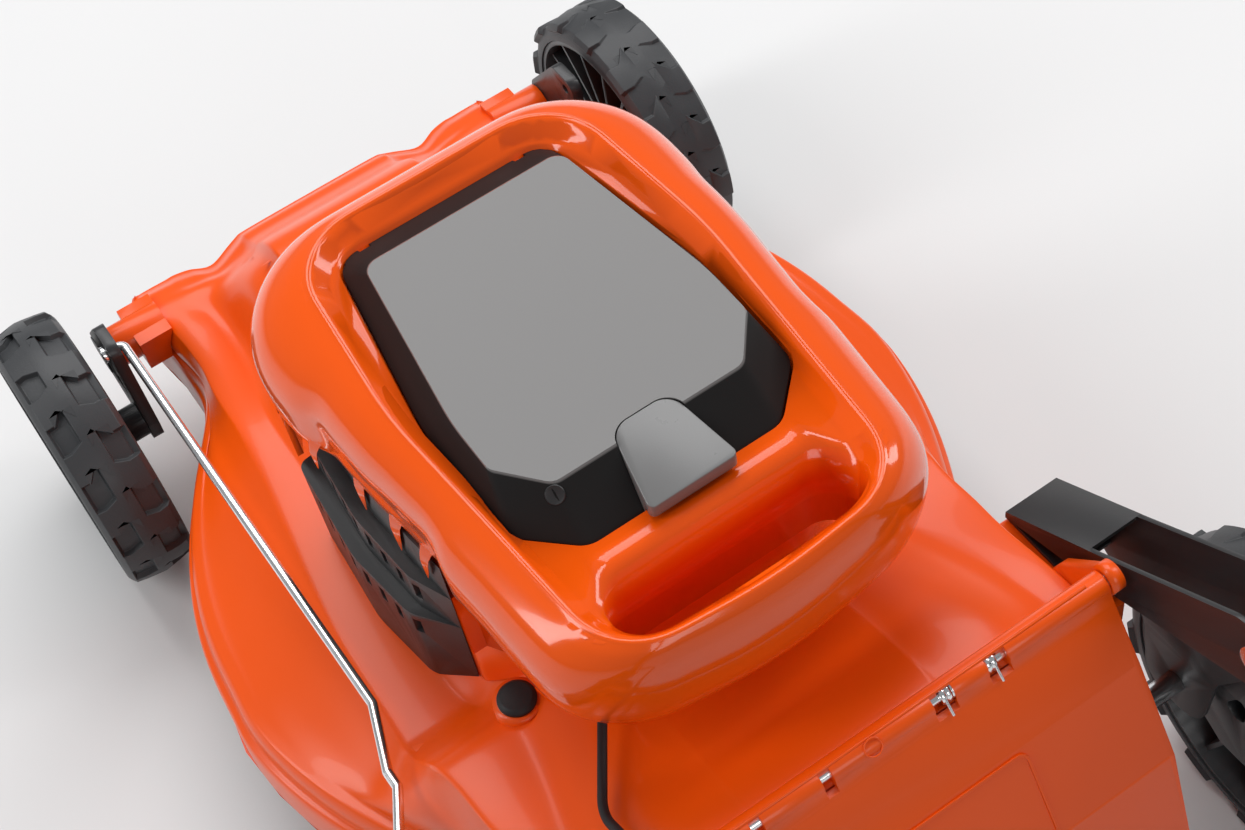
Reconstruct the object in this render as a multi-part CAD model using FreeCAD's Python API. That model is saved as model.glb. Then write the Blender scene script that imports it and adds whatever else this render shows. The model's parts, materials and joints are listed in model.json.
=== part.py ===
"""Walk-behind battery lawn mower, 41 cm cut, modelled piece by piece.

Millimetres. +Y is the way it travels, +X the operator's right hand, +Z up, with the ground at zero.
Every sub-part is written to parts/NODE.step.
"""
import FreeCAD, Part
import math
import os

Vec = FreeCAD.Vector
X_AXIS = Vec(1, 0, 0)
Y_AXIS = Vec(0, 1, 0)
Z_AXIS = Vec(0, 0, 1)
SIDES = (("left", -1), ("right", 1))

# ---------------------------------------------------------------- driving dimensions
# Running gear
front_axle_y = 578.5            # places the machine's box evenly about the origin
wheelbase = 560.0
front_wheel_r = 87.5
rear_wheel_r = 100.0
wheel_width = 43.5
front_wheel_inner_x = 178.5
rear_wheel_inner_x = 208.0
tread_depth = 4.0
tread_lugs = 14
tread_groove = 11.0
tyre_height = 12.7
rim_wall = 3.0
web_inset = 12.0
hub_recess = 9.0
cap_r = 22.0
nut_r = 10.0
rim_spokes = 16
spoke_width = 2.6
hub_r = 16.0
axle_stub_r = 6.0
running_clearance = 0.08
seat_clearance = 0.02

# Height adjustment: equal cranks, joined by one rod, keep the deck level
crank_back = 40.0               # wheel axle behind its arm's pivot
crank_drop = 22.5               # wheel axle below its arm's pivot
rod_pin_rise = 44.0             # rod pin above the arm's pivot
arm_thickness = 7.0
pivot_bar_r = 6.0
arm_boss_r = 13.0
front_arm_x = 158.0             # inner face of the front arms
rear_arm_x = 196.0
rod_r = 2.8
rod_x = 154.5
rod_steps = ((300, 338, 13.0), (348, 394, 25.0))   # start and end behind the front axle, step outboard
rod_bend_r = 4.0
lever_length = 124.0
lever_angle_deg = 95.0          # above the forward horizontal
height_travel_deg = 60.0
lever_thickness = 3.0
sector_thickness = 2.5
sector_notches = 6
sector_r = 92.0
sector_band = 16.0
sector_post_deg = 60.0          # front post, clear of the rod

# Deck moulding
deck_wall = 3.6
skirt_z = 62.0
skirt_height = 36.0
skirt_step = 5.0
blade_length = 406.0
blade_clearance = 9.0           # blade tip to the chamber's wall
chamber_r = blade_length / 2 + blade_clearance
motor_axis_y = chamber_r + 10.0  # behind the front axle
front_half_width = 130.0
tunnel_half_width = 150.0
plan_blend = 5.0                # how softly the round chamber runs into the straight sides
nose_reach = 75.0               # ahead of the front axle
deck_stations = (71, 62, 46, 22, -5, -35, -62, -90, -120, -155, -190, -225, -260,
                 -290, -315, -340, -362, -385, -410, -445)
tail_clearance = 27.0           # deck's tail to the rear pivot bar
deck_tail = wheelbase - crank_back - tail_clearance   # behind the front axle
crown_z = 170.0
shoulder_z = 138.0
tunnel_top_z = 236.0
tunnel_floor_z = 134.0
ring_wall = 6.0
wing_reach = 21.0               # bracket seats beside the tunnel
wing_length = 80.0
wing_top_z = 188.0
plinth_half_width = 101.0
plinth_top_z = 226.0
plinth_waist = 19.0             # how far it draws in behind the vents
plinth_rear = 398.0             # behind the front axle, ahead of the carrying slot
plug_x = 99.0
plug_s = 362.0
plug_z = 196.0
plug_r = 10.0

# Top cover
cover_half_width = 125.0
cover_front = 131.0             # behind the front axle
cover_rear = 466.0
cover_low_z = 207.0
cover_under_z = 262.0           # underside of the overhanging bezel
cover_wide_z = 289.0            # its widest line
cover_top_z = 331.5             # its ridge
dish_z = 323.0                  # level inside the ridge
dish_slope = 8.0
ridge_width = 1.2
cover_tuck = 14.0               # how far the bezel rolls under
cover_wall = 3.0
neck_gap = 2.0                  # bezel's widest line to the flank ahead of the vents
cover_rows = 7
cover_tail_line = ((368, 206.4), (392, 213), (425, 219.5), (471, 236))   # lower edge over the rising deck
slot_half_length = 66.0
slot_front = 405.0
slot_rear = 443.0
slot_floor_z = 262.0
vent_front = 176.0              # behind the front axle
vent_rear = 318.0
vent_tooth = 27.0
vent_teeth = 4
vent_step = 8.5
vent_levels = (204.0, 232.0)    # heights of the insert's two steps

# Battery bay and lid
lid_gap = 1.2
lid_front = 172.0
lid_rear = 385.0
lid_half_front = 61.0
lid_half_rear = 78.5
lid_wall = 2.4
lid_rim_z = 321.0
lid_plateau_z = 341.5
plateau_front = 200.0
plateau_rear = 360.0
plateau_half_front = 56.0
plateau_half_rear = 70.0
lid_seat_z = 312.0
bay_depth = 98.0
lid_lift = 2.4                  # clearance over the seat, so that the lid can swing
lid_pivot_s = 177.0             # behind the front axle
lid_pivot_z = 320.5
lid_pin_r = 1.4
lid_knuckle_reach = 42.0
lid_ear_x = (43.0, 48.0)
lid_ear_r = 3.0
tab_half = 24.0
tab_taper = 8.0
tab_front = 352.0
tab_rear = 394.0
tab_drop = 7.5                  # its top falls this much towards the lip
tab_lip_z = 326.5
bay_wall = 2.4
bay_half_width = 56.0
bay_front = 212.0
bay_rear = 362.0
battery_gap = 1.5
battery_grip_half = 26.0
latch_travel = 3.0

# Motor and blade
motor_r = 58.0
motor_height = 34.0
motor_base_z = 176.0
shaft_r = 7.5
blade_width = 46.0
blade_thickness = 3.2
blade_z = 72.0
holder_r = 30.0
holder_thickness = 14.0
motor_vents = 12
blade_lift = 12.0
blade_wing = 62.0
blade_bolt_r = 4.8

# Rear flap
flap_hinge_y = deck_tail + 8.0  # behind the front axle
flap_hinge_z = 240.0
flap_half_width = 144.0
flap_wall = 3.0
flap_bead_r = 6.5
flap_pin_r = 3.0
flap_ear_r = 8.0
flap_flange = 9.0
flap_windows = ((79.0, 6.0), (48.0, 6.0), (-17.0, 3.0), (-55.0, 3.0))   # centre, half width
spring_x = 63.5
spring_half = 17.0
spring_r = 5.2
spring_bore_r = 3.3
spring_turns = 11
spring_leg_r = 0.8

# Handle
bracket_x = 156.0               # inner face of the bracket's inner cheek
bracket_width = 33.0
bracket_wall = 2.5
handle_pivot_y = deck_tail + 92.0   # behind the front axle
handle_pivot_z = 274.0
handle_lean_deg = 47.0          # above the horizontal, leaning back
tube_r = 11.0
tube_wall = 1.5
lower_length = 500.0
upper_length = 440.0
lower_tube_x = 172.5
upper_tube_x = 197.0
handle_bend_r = 60.0
grip_r = 16.0
pivot_bolt_r = 4.0
eye_r = 14.0
eye_web = 2.0
knob_r = 18.0
cam_pin_r = 2.0
cam_length = 62.0
cam_offset = 7.4
control_half = 44.0
control_length = 84.0
button_x = 0.0
button_r = 10.0
button_travel = 3.0
bail_inner_x = 168.0
bail_bend_r = 9.0
cable_r = 2.4
cable_bend_r = 24.0
cable_turn_x = 127.5            # where the cable crosses a fold axis
cable_side_x = 152.5
cable_box_x = 20.0
clip_wall = 1.6
bail_reach = 100.0
bail_r = 4.0
bail_open_deg = 38.0

os.makedirs("parts", exist_ok=True)


def fore(distance):
    """Y of a point that far behind the front axle."""
    return front_axle_y - distance


# ---------------------------------------------------------------- shape helpers
def save(name, shape):
    shape.exportStep("parts/" + name + ".step")


def box(x_range, y_range, z_range):
    """A block between two values on each axis."""
    low = Vec(min(x_range), min(y_range), min(z_range))
    size = [max(r) - min(r) for r in (x_range, y_range, z_range)]
    return Part.makeBox(size[0], size[1], size[2], low)


def rod_along_x(x0, x1, y, z, radius):
    return Part.makeCylinder(radius, abs(x1 - x0), Vec(min(x0, x1), y, z), X_AXIS)


def ring_along_x(x0, x1, y, z, outer, inner):
    return rod_along_x(x0, x1, y, z, outer).cut(rod_along_x(x0 - 1, x1 + 1, y, z, inner))


def rod_along_z(z0, z1, x, y, radius):
    return Part.makeCylinder(radius, z1 - z0, Vec(x, y, z0), Z_AXIS)


def mirrored(shape):
    """The same piece on the other side of the machine."""
    return shape.mirror(Vec(0, 0, 0), X_AXIS)


def for_side(shape, side):
    """A right-hand shape, or its mirror image when side is -1."""
    return shape if side > 0 else mirrored(shape)


def rounded_wire(corners, place):
    """A closed outline of straight runs and arcs. A corner is (a, b, radius); place puts a, b in space."""
    count = len(corners)
    runs = []
    for i in range(count):
        here = Vec(corners[i][0], corners[i][1], 0)
        before = Vec(corners[i - 1][0], corners[i - 1][1], 0) - here
        after = Vec(corners[(i + 1) % count][0], corners[(i + 1) % count][1], 0) - here
        before.normalize()
        after.normalize()
        radius = corners[i][2]
        half = before.getAngle(after) / 2
        if radius <= 0 or half > math.pi / 2 - 1e-4:
            runs.append((here, None, here))
            continue
        reach = radius / math.tan(half)
        bisector = before + after
        bisector.normalize()
        middle = here + bisector * (radius / math.sin(half) - radius)
        runs.append((here + before * reach, middle, here + after * reach))
    edges = []
    for i in range(count):
        start, middle, end = runs[i]
        if middle is not None:
            points = [place(p.x, p.y) for p in (start, middle, end)]
            edges.append(Part.Arc(points[0], points[1], points[2]).toShape())
        following = runs[(i + 1) % count][0]
        if end.distanceToPoint(following) > 1e-6:
            edges.append(Part.LineSegment(place(end.x, end.y), place(following.x, following.y)).toShape())
    return Part.Wire(edges)


def flat_solid(corners, place, push):
    """An outline pushed along a vector."""
    return Part.Face(rounded_wire(corners, place)).extrude(push)


def on_side(x):
    """Places (y, z) pairs on the plane at x."""
    return lambda a, b: Vec(x, a, b)


def on_level(z):
    """Places (x, y) pairs on the plane at z."""
    return lambda a, b: Vec(a, b, z)


def side_plate(corners, x0, x1):
    """A plate of an outline in (y, z), from x0 to x1."""
    return flat_solid(corners, on_side(x0), Vec(x1 - x0, 0, 0))


def level_plate(corners, z0, z1):
    """A plate of an outline in (x, y), from z0 to z1."""
    return flat_solid(corners, on_level(z0), Vec(0, 0, z1 - z0))


def turned(profile, centre, axis):
    """A closed (radius, along) outline turned about an axis through centre."""
    if abs(axis.x) > 0.5:
        place = lambda r, a: centre + Vec(a, 0, r)
    else:
        place = lambda r, a: centre + Vec(r, 0, a)
    return Part.Face(rounded_wire(profile, place)).revolve(centre, axis, 360)


def fused(shapes):
    """One solid from pieces that overlap."""
    whole = shapes[0].fuse(list(shapes[1:])) if len(shapes) > 1 else shapes[0]
    return whole.removeSplitter()


def between(value, table):
    """Reads a smooth value from (station, value) pairs, easing in and out of each."""
    if value >= table[0][0]:
        return table[0][1]
    for (near, first), (far, last) in zip(table, table[1:]):
        if value >= far:
            share = (near - value) / (near - far)
            share = share * share * (3 - 2 * share)
            return first + (last - first) * share
    return table[-1][1]


# ---------------------------------------------------------------- deck
def plan_half_width(s):
    """Half the deck's width at s ahead of the front axle: straight sides run softly into the round chamber."""
    off_motor = s + motor_axis_y
    circle = math.sqrt(max(chamber_r ** 2 - off_motor ** 2, 1.0))
    horn_flare = 8.0 * between(s, [(nose_reach, 1), (20, 0)])
    straight = front_half_width + horn_flare if off_motor > 0 else tunnel_half_width
    return (circle ** plan_blend + straight ** plan_blend) ** (1 / plan_blend)


def deck_station(s, inset):
    """Right-hand half of the deck's section at s ahead of the front axle, from the skirt's foot to the crown."""
    rear = tunnel_top_z
    foot_z = skirt_z + between(s, [(nose_reach, 34), (nose_reach - 22, 6), (0, 0)])
    rim_z = foot_z + between(s, [(nose_reach, 6), (nose_reach - 20, skirt_height * 0.75), (0, skirt_height)])
    crown = between(s, [(nose_reach, rim_z + 4), (58, 118), (-8, crown_z - 6), (-70, crown_z),
                        (-300, crown_z + 4), (-385, rear - 27), (-deck_tail, rear)])
    shoulder = between(s, [(nose_reach, rim_z + 2), (60, 113), (10, 118), (-110, shoulder_z),
                           (-318, shoulder_z + 3), (-372, rear - 44), (-deck_tail, rear - 20)])
    outer = between(s, [(nose_reach, front_half_width), (0, 121), (-62, 126), (-280, 151),
                        (-335, 153), (-390, 146), (-deck_tail, 147)])
    inner = between(s, [(nose_reach, 104), (0, 100), (-110, 111), (-300, 116), (-355, 106), (-deck_tail, 128)])
    dip = between(s, [(nose_reach, 0), (60, 8), (0, 4), (-60, 0)])
    width = plan_half_width(s)
    step = between(s, [(nose_reach, 0.5), (20, 1.5), (-60, skirt_step), (-330, skirt_step), (-400, 1)])
    outer = min(outer, width - step - 6)
    inner = min(inner, outer - 8)
    flank_z = rim_z + (shoulder - rim_z) * 0.55
    flank = outer + (width - step - outer) * 0.72
    points = [
        (width, foot_z),
        (width - 0.8, rim_z - 1.5),
        (width - step, rim_z + 1.5),
        (flank, flank_z),
        (outer, shoulder),
        (inner, shoulder),
        (inner - 14, shoulder - dip + (crown - shoulder) * 0.35),
        (inner - 34, crown - 2),
        (0, crown),
    ]
    if inset:
        points = [(max(x - inset, 0), z - inset) for x, z in points]
        points[0] = (points[0][0], skirt_z - 20)
    return points


def skinned(rings):
    """A closed solid through rings of points: flat triangles between neighbours and a flat cap at each end."""
    faces = []
    for near, far in zip(rings, rings[1:]):
        for i in range(len(near)):
            j = (i + 1) % len(near)
            for corners in ((near[i], near[j], far[j]), (near[i], far[j], far[i])):
                faces.append(Part.Face(Part.makePolygon(corners + corners[:1])))
    for end in (rings[0], rings[-1]):
        faces.append(Part.Face(Part.makePolygon(end + end[:1])))
    solid = Part.Solid(Part.Shell(faces))
    if solid.Volume < 0:
        solid.reverse()
    return solid


def deck_skin(inset, front, rear):
    """The deck's outside, or its inside when inset, as one solid through its stations."""
    stations = [front] + [s for s in deck_stations if rear + 4 < s < front - 1] + [rear]
    rings = []
    for s in stations:
        half = deck_station(s, inset)
        outline = half + [(-x, z) for x, z in reversed(half[:-1])]
        rings.append([Vec(x, fore(-s), z) for x, z in outline])
    return skinned(rings)


def deck_shell():
    """Deck moulding: skin, round chamber wall, tunnel floor, cover plinth and bracket seats."""
    outside = deck_skin(0, nose_reach, -deck_tail)
    inside = deck_skin(deck_wall, nose_reach - deck_wall, -deck_tail - 1)
    motor_y = fore(motor_axis_y)
    ring = rod_along_z(skirt_z, crown_z, 0, motor_y, chamber_r + 3)
    ring = ring.cut(rod_along_z(skirt_z - 1, crown_z + 1, 0, motor_y, chamber_r + 3 - ring_wall))
    mouth_y = motor_y - chamber_r * 0.66
    mouth = box((-tunnel_half_width, tunnel_half_width), (mouth_y, mouth_y - chamber_r),
                (tunnel_floor_z - 40, tunnel_top_z))
    ring = ring.cut(mouth).common(outside)
    floor_start = fore(motor_axis_y + chamber_r - ring_wall)
    tail_y = fore(deck_tail)
    floor = side_plate([(floor_start, tunnel_floor_z - 42, 0), (tail_y, tunnel_floor_z - deck_wall, 0),
                        (tail_y, tunnel_floor_z, 0), (floor_start, tunnel_floor_z - 38, 0)],
                       -tunnel_half_width + 1, tunnel_half_width - 1)
    shell = outside.cut(inside)
    shell = fused([shell, ring, floor.common(outside)])
    plinth = level_plate(plinth_outline(0), crown_z - 14, plinth_top_z)
    well = level_plate(plinth_outline(deck_wall), crown_z - 16, plinth_top_z + 1)
    shell = fused([shell, plinth.cut(well)])
    for side in (-1, 1):
        shell = fused([shell, bracket_seat(side)])
    shell = fused([shell] + hinge_ears()).cut(hinge_bore())
    shell = shell.cut(front_pivot_bore())
    pad = rod_along_z(crown_z - 2, motor_base_z, 0, motor_y, motor_r + 12)
    plug_boss = rod_along_z(plug_z - 26, plug_z, -plug_x, fore(plug_s), plug_r + 2.5).cut(inside)
    shell = fused([shell, pad, plug_boss])
    plug_hole = rod_along_z(plug_z - 40, plug_z + 1, -plug_x, fore(plug_s), plug_r - 3)
    shaft_hole = rod_along_z(crown_z - 20, crown_z + 20, 0, motor_y, shaft_r + 4)
    return shell.cut(shaft_hole).cut(plug_hole).cut(cable_passage())


def plinth_outline(inset):
    """Plan of the wall that carries the top cover."""
    front = fore(cover_front + 19) - inset
    rear = fore(plinth_rear) + inset
    wide = plinth_half_width - inset
    waist = wide - plinth_waist
    half = [(wide - 8, front, 50 - inset), (wide, fore(vent_rear + 4), 12), (waist, fore(vent_rear + 34), 12),
            (waist, rear, 40 - inset)]
    return half + [(-x, y, r) for x, y, r in reversed(half)]


def bracket_seat(side):
    """Block beside the tunnel that the handle bracket is bolted to."""
    outer = tunnel_half_width + wing_reach
    rear = fore(deck_tail)
    front = rear + wing_length - 8
    top = wing_top_z - 4.3
    corners = [(rear, top - 46, 8), (rear + 20, top - 46, 20), (front, top - 12, 8), (front, top, 3), (rear, top, 3)]
    return for_side(side_plate(corners, tunnel_half_width - 8, outer), side)


def front_pivot():
    """Distance behind the front axle, and height, of the front arms' pivot."""
    return -crank_back, front_wheel_r + crank_drop


def rear_pivot():
    return wheelbase - crank_back, rear_wheel_r + crank_drop


def front_pivot_bore():
    s, z = front_pivot()
    return rod_along_x(-front_arm_x, front_arm_x, fore(s), z, pivot_bar_r + running_clearance)


def front_pivot_blocks():
    """Bearing blocks on the deck's flanks that carry the front pivot bar."""
    s, z = front_pivot()
    y = fore(s)
    boss = rod_along_x(front_half_width - 8, front_arm_x - 0.4, y, z, arm_boss_r)
    foot = box((front_half_width - 8, front_arm_x - 14), (y - arm_boss_r - 5, y + arm_boss_r + 3),
               (z - arm_boss_r, z + arm_boss_r - 3))
    block = fused([boss, foot]).cut(deck_skin(0, nose_reach, -deck_tail)).cut(front_pivot_bore())
    return Part.makeCompound([for_side(block, side) for side in (-1, 1)])


def cover_half():
    """Right-hand corners of the bezel's widest line, as (x, y, radius)."""
    return [(cover_half_width - 7.5, fore(cover_front), 62), (cover_half_width + 1.5, fore(cover_front + 130), 240),
            (cover_half_width - 16, fore(cover_rear - 11), 64), (0, fore(cover_rear + 2.5), 260)]


def ridge_half():
    """The same corners on the soft ridge round the lid and the slot."""
    return [(80, fore(lid_front - 15), 40), (90, fore(lid_front + 104), 240), (77, fore(slot_rear + 4), 36),
            (0, fore(slot_rear + 11), 260)]


def bezel_outline(share, inset):
    """Outline between the widest line and the ridge, drawn in by inset."""
    half = []
    for (x0, y0, r0), (x1, y1, r1) in zip(cover_half(), ridge_half()):
        middle_y = fore((cover_front + cover_rear) / 2)
        x, y, r = (a + (b - a) * share for a, b in ((x0, x1), (y0, y1), (r0, r1)))
        towards = inset if y < middle_y else -inset
        y = y + towards * (abs(y - middle_y) > 70)
        half.append((max(x - inset, 0), y, r - inset * 0.6))
    return half + [(-x, y, r) for x, y, r in reversed(half[:-1])]


def bezel(inset):
    """The bezel's outside as one solid, or its inside when inset."""
    under = cover_under_z + inset
    levels = [(under, 0, cover_tuck), (under + 6, 0, cover_tuck * 0.42), (cover_wide_z - 9, 0, cover_tuck * 0.1),
              (cover_wide_z, 0, 0)]
    last = math.radians(70)
    for i in range(1, cover_rows + 1):
        a = last * i / cover_rows
        levels.append((cover_wide_z + (cover_top_z - inset - cover_wide_z) * math.sin(a) / math.sin(last),
                       (1 - math.cos(a)) / (1 - math.cos(last)), 0))
    wires = [rounded_wire(bezel_outline(share, extra + inset), on_level(z)) for z, share, extra in levels]
    return Part.makeLoft(wires, True, True)


def dish(wall):
    """Space inside the ridge, down to the level round the lid and the slot; grown by a wall."""
    low = rounded_wire(bezel_outline(1, ridge_width + dish_slope - wall), on_level(dish_z - wall))
    high = rounded_wire(bezel_outline(1, ridge_width - wall), on_level(cover_top_z + 1))
    return Part.makeLoft([low, high], True, True)


def cover_neck(inset):
    """Wall under the bezel: flush in front and beside the vents, drawn in behind them."""
    low = cover_low_z - 2 * inset
    flush = level_plate(bezel_outline(0, neck_gap + inset), low, cover_wide_z - 4 + 2 * inset)
    behind = box((-200, 200), (fore(vent_rear + 16) + inset, fore(cover_rear + 20)), (0, 400))
    seat = level_plate(plinth_outline(-0.4 - cover_wall + inset), low, cover_under_z + 1 + 2 * inset)
    return flush.cut(behind).fuse(seat)


def softened(solid, radius, z):
    """Rounds the edges that lie flat at height z."""
    edges = [e for e in solid.Edges if abs(e.BoundBox.ZMin - z) < 0.01 and abs(e.BoundBox.ZMax - z) < 0.01]
    return solid.makeFillet(radius, edges)


def motor_cover():
    """Top cover: an overhanging rounded bezel round the battery lid, with a carrying slot behind it."""
    outside = bezel(0).cut(dish(0)).fuse(cover_neck(0))
    inside = bezel(cover_wall).cut(dish(cover_wall)).fuse(cover_neck(cover_wall))
    recess = level_plate(lid_outline(-lid_gap), lid_seat_z, cover_top_z + 1)
    tray = level_plate(lid_outline(-lid_gap - cover_wall), lid_seat_z - cover_wall, dish_z - 0.5)
    bay_hole = box((-bay_half_width, bay_half_width), (fore(bay_front), fore(bay_rear)),
                   (lid_seat_z - 10, cover_top_z))
    slot = level_plate(slot_outline(0), cover_low_z - 1, cover_top_z + 1)
    slot_tube = level_plate(slot_outline(-cover_wall), cover_under_z + 0.5, dish_z - 0.5)
    shell = fused([outside.cut(inside), tray.cut(recess), slot_tube.common(outside)])
    shell = shell.cut(recess).cut(bay_hole).cut(slot)
    tail_room = side_plate([(fore(s), z, 0) for s, z in cover_tail_line] +
                           [(fore(cover_rear + 5), cover_low_z - 9, 0),
                            (fore(cover_tail_line[0][0]), cover_low_z - 9, 0)],
                           -cover_half_width - 5, cover_half_width + 5)
    shell = shell.cut(tail_room)
    for side in (-1, 1):
        shell = shell.cut(for_side(vent_opening(), side))
    lugs = [for_side(lid_ear(), side) for side in (-1, 1)]
    teeth = [for_side(tooth, side) for side in (-1, 1) for tooth in vent_fangs() + [vent_lintel()]]
    shell = fused([shell] + lugs + teeth)
    shell = shell.cut(rod_along_x(-lid_ear_x[1] - 1, lid_ear_x[1] + 1, fore(lid_pivot_s), lid_pivot_z,
                                  lid_pin_r + seat_clearance))
    return shell.cut(cable_passage())


def lid_ear():
    """Lug on the recess floor that holds the lid's pin."""
    y, z = fore(lid_pivot_s), lid_pivot_z
    lug = rod_along_x(lid_ear_x[0], lid_ear_x[1], y, z, lid_ear_r)
    return fused([lug, box(lid_ear_x, (y - lid_ear_r, y + lid_ear_r), (lid_seat_z - 1, z))])


def lid_notch():
    """Gap in the lid's front wall for the cover's lug."""
    y = fore(lid_pivot_s)
    return box((lid_ear_x[0] - 0.8, lid_ear_x[1] + 0.8), (y - 7, fore(lid_front) + 1),
               (lid_seat_z, lid_pivot_z + lid_ear_r + 0.4))


def lid_outline(inset):
    """Plan of the battery lid, wider towards the back with cut rear corners."""
    front = fore(lid_front) - inset
    rear = fore(lid_rear) + inset
    half = [
        (lid_half_front - inset, front, 14 - inset),
        (lid_half_rear - inset, front - 115, 150),
        (lid_half_rear - 1 - inset, rear + 26, 14 - inset),
        (lid_half_rear - 27 - inset * 0.8, rear, 13 - inset),
    ]
    return half + [(-x, y, r) for x, y, r in reversed(half)]


def slot_outline(inset):
    """Plan of the carrying slot."""
    front = fore(slot_front) - inset
    rear = fore(slot_rear) + inset
    reach = slot_half_length - inset
    return [(reach, front, 17 - inset), (reach, rear, 17 - inset), (-reach, rear, 17 - inset),
            (-reach, front, 17 - inset)]


def vent_opening():
    """Gap in the cover's right flank, from the deck up to the bezel's underside."""
    near, far = vent_span()
    return side_plate([(near, cover_low_z - 2, 0), (near, cover_under_z - 14, 10), (near - 12, cover_under_z, 4),
                       (far + 6, cover_under_z, 4), (far, cover_under_z - 10, 6), (far, cover_low_z - 2, 0)],
                      plinth_half_width - 1, cover_half_width + 6)


def vent_lintel():
    """Underside of the bezel over the right-hand vent."""
    near, far = vent_span()
    rolled = bezel(0).cut(bezel(cover_wall))
    return rolled.common(box((plinth_half_width - cover_tuck, cover_half_width + 5), (near + 1, far - 1),
                             (0, cover_wide_z - 2)))


def bezel_edge(y):
    """Half width of the bezel's widest line at y."""
    plan = Part.Face(rounded_wire(bezel_outline(0, 0), on_level(0)))
    across = Part.LineSegment(Vec(0, y, 0), Vec(2 * cover_half_width, y, 0)).toShape()
    return plan.common(across).BoundBox.XMax


def vent_fangs():
    """Pointed teeth that hang from the bezel's underside over the right-hand vent."""
    near, far = vent_span()
    pitch = (near - far - 16) / vent_teeth
    fangs = []
    for i in range(vent_teeth):
        y = near - 14 - pitch * i
        outer = bezel_edge(y - 3) - cover_tuck + 0.5
        top = cover_under_z + 1.5
        low = cover_under_z - vent_tooth * (0.7 if i in (0, vent_teeth - 1) else 1)
        corners = [(y + 5, top, 0), (y - 9, top, 0), (y - 3, low + 9, 14), (y + 1.5, low, 0.8), (y + 4, low + 12, 10)]
        fangs.append(side_plate(corners, outer - 4, outer))
    return fangs


def vent_span():
    """Front and rear ends, in Y, of the cooling vents in the cover's flanks."""
    return fore(vent_front), fore(vent_rear)


def plateau_outline(inset):
    """Plan of the lid's raised plateau, with cut rear corners like the lid's."""
    front = fore(plateau_front) - inset
    rear = fore(plateau_rear) + inset
    half = [
        (plateau_half_front - inset, front, 8),
        (plateau_half_rear - inset, front - 105, 150),
        (plateau_half_rear - inset, rear + 24, 8),
        (plateau_half_rear - 19 - inset * 0.8, rear, 8),
    ]
    return half + [(-x, y, r) for x, y, r in reversed(half)]


def lid_crown(wall):
    """The lid's sloped border up to its plateau; a wall lower and narrower for its inside."""
    rim = rounded_wire(lid_outline(wall), on_level(lid_rim_z - wall))
    top = rounded_wire(plateau_outline(wall * 0.5), on_level(lid_plateau_z - wall))
    return Part.makeLoft([rim, top], True, True)


def battery_lid():
    """Smoked lid: a sloped border rising to a flat plateau, hollow underneath."""
    low = lid_seat_z + lid_lift
    skirt = level_plate(lid_outline(0), low, lid_rim_z)
    room = level_plate(lid_outline(lid_wall), low - 1, lid_rim_z - lid_wall)
    lid = fused([skirt, lid_crown(0)]).cut(room).cut(lid_crown(lid_wall))
    pivot_y = fore(lid_pivot_s)
    knuckle = rod_along_x(-lid_knuckle_reach, lid_knuckle_reach, pivot_y, lid_pivot_z, lid_pin_r + 1.6)
    lid = fused([lid, knuckle])
    bore = rod_along_x(-200, 200, pivot_y, lid_pivot_z, lid_pin_r + running_clearance)
    lid = lid.cut(bore).cut(level_plate(tab_outline(-0.3), low - 1, lid_plateau_z + 10))
    for side in (-1, 1):
        lid = lid.cut(for_side(lid_notch(), side))
    return lid


def tab_outline(inset):
    """Plan of the thumb tab at the lid's rear edge, rounded in front and straight behind."""
    front = fore(tab_front) - inset
    rear = fore(tab_rear) + inset
    half = [(tab_half - tab_taper - inset, front, 11), (tab_half - inset, rear, 3)]
    return half + [(-x, y, r) for x, y, r in reversed(half)]


def lid_tab():
    """Grey thumb tab set flush into the lid, with a lip over the cover to lift it by."""
    front, rear = fore(tab_front) + 4, fore(tab_rear) - 4
    slab = level_plate(tab_outline(0), lid_seat_z + lid_lift + 1, lid_plateau_z + 1)
    above = side_plate([(front, lid_plateau_z + 0.6, 0), (rear, lid_plateau_z - tab_drop, 0),
                        (rear, lid_plateau_z + 9, 0), (front, lid_plateau_z + 9, 0)], -tab_half - 9, tab_half + 9)
    under = box((-tab_half - 5, tab_half + 5), (fore(lid_rear) - 0.4, rear), (lid_seat_z, tab_lip_z))
    room = level_plate(tab_outline(2.4), lid_seat_z, tab_lip_z - 1)
    core = box((-tab_half, tab_half), (fore(tab_front) + 1, fore(lid_rear) + 2.4), (lid_seat_z, tab_lip_z + 4))
    return slab.cut(above).cut(under).cut(room.common(core))


def lid_pin():
    return rod_along_x(-lid_ear_x[1], lid_ear_x[1], fore(lid_pivot_s), lid_pivot_z, lid_pin_r)


def battery_bay():
    """Open box under the lid that takes the battery."""
    floor_z = lid_seat_z - bay_depth
    rim_z = lid_seat_z - cover_wall - 0.3
    outer = box((-bay_half_width + 0.3, bay_half_width - 0.3), (fore(bay_front) - 0.3, fore(bay_rear) + 0.3),
                (floor_z, rim_z))
    flange = box((-bay_half_width - 7, bay_half_width + 7), (fore(bay_front) + 7, fore(bay_rear) - 7),
                 (rim_z - bay_wall, rim_z))
    room = box((-bay_half_width + bay_wall, bay_half_width - bay_wall),
               (fore(bay_front) - bay_wall, fore(bay_rear) + bay_wall), (floor_z + bay_wall, rim_z + 1))
    bay = fused([outer, flange]).cut(room)
    ribs = []
    for side in (-1, 1):
        for share in (0.3, 0.7):
            y = fore(bay_front + (bay_rear - bay_front) * share)
            rib = box((bay_half_width - bay_wall - 2.2, bay_half_width - 1), (y - 1.5, y + 1.5),
                      (floor_z + 1, rim_z - 12))
            ribs.append(for_side(rib, side))
    return fused([bay] + ribs)


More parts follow.
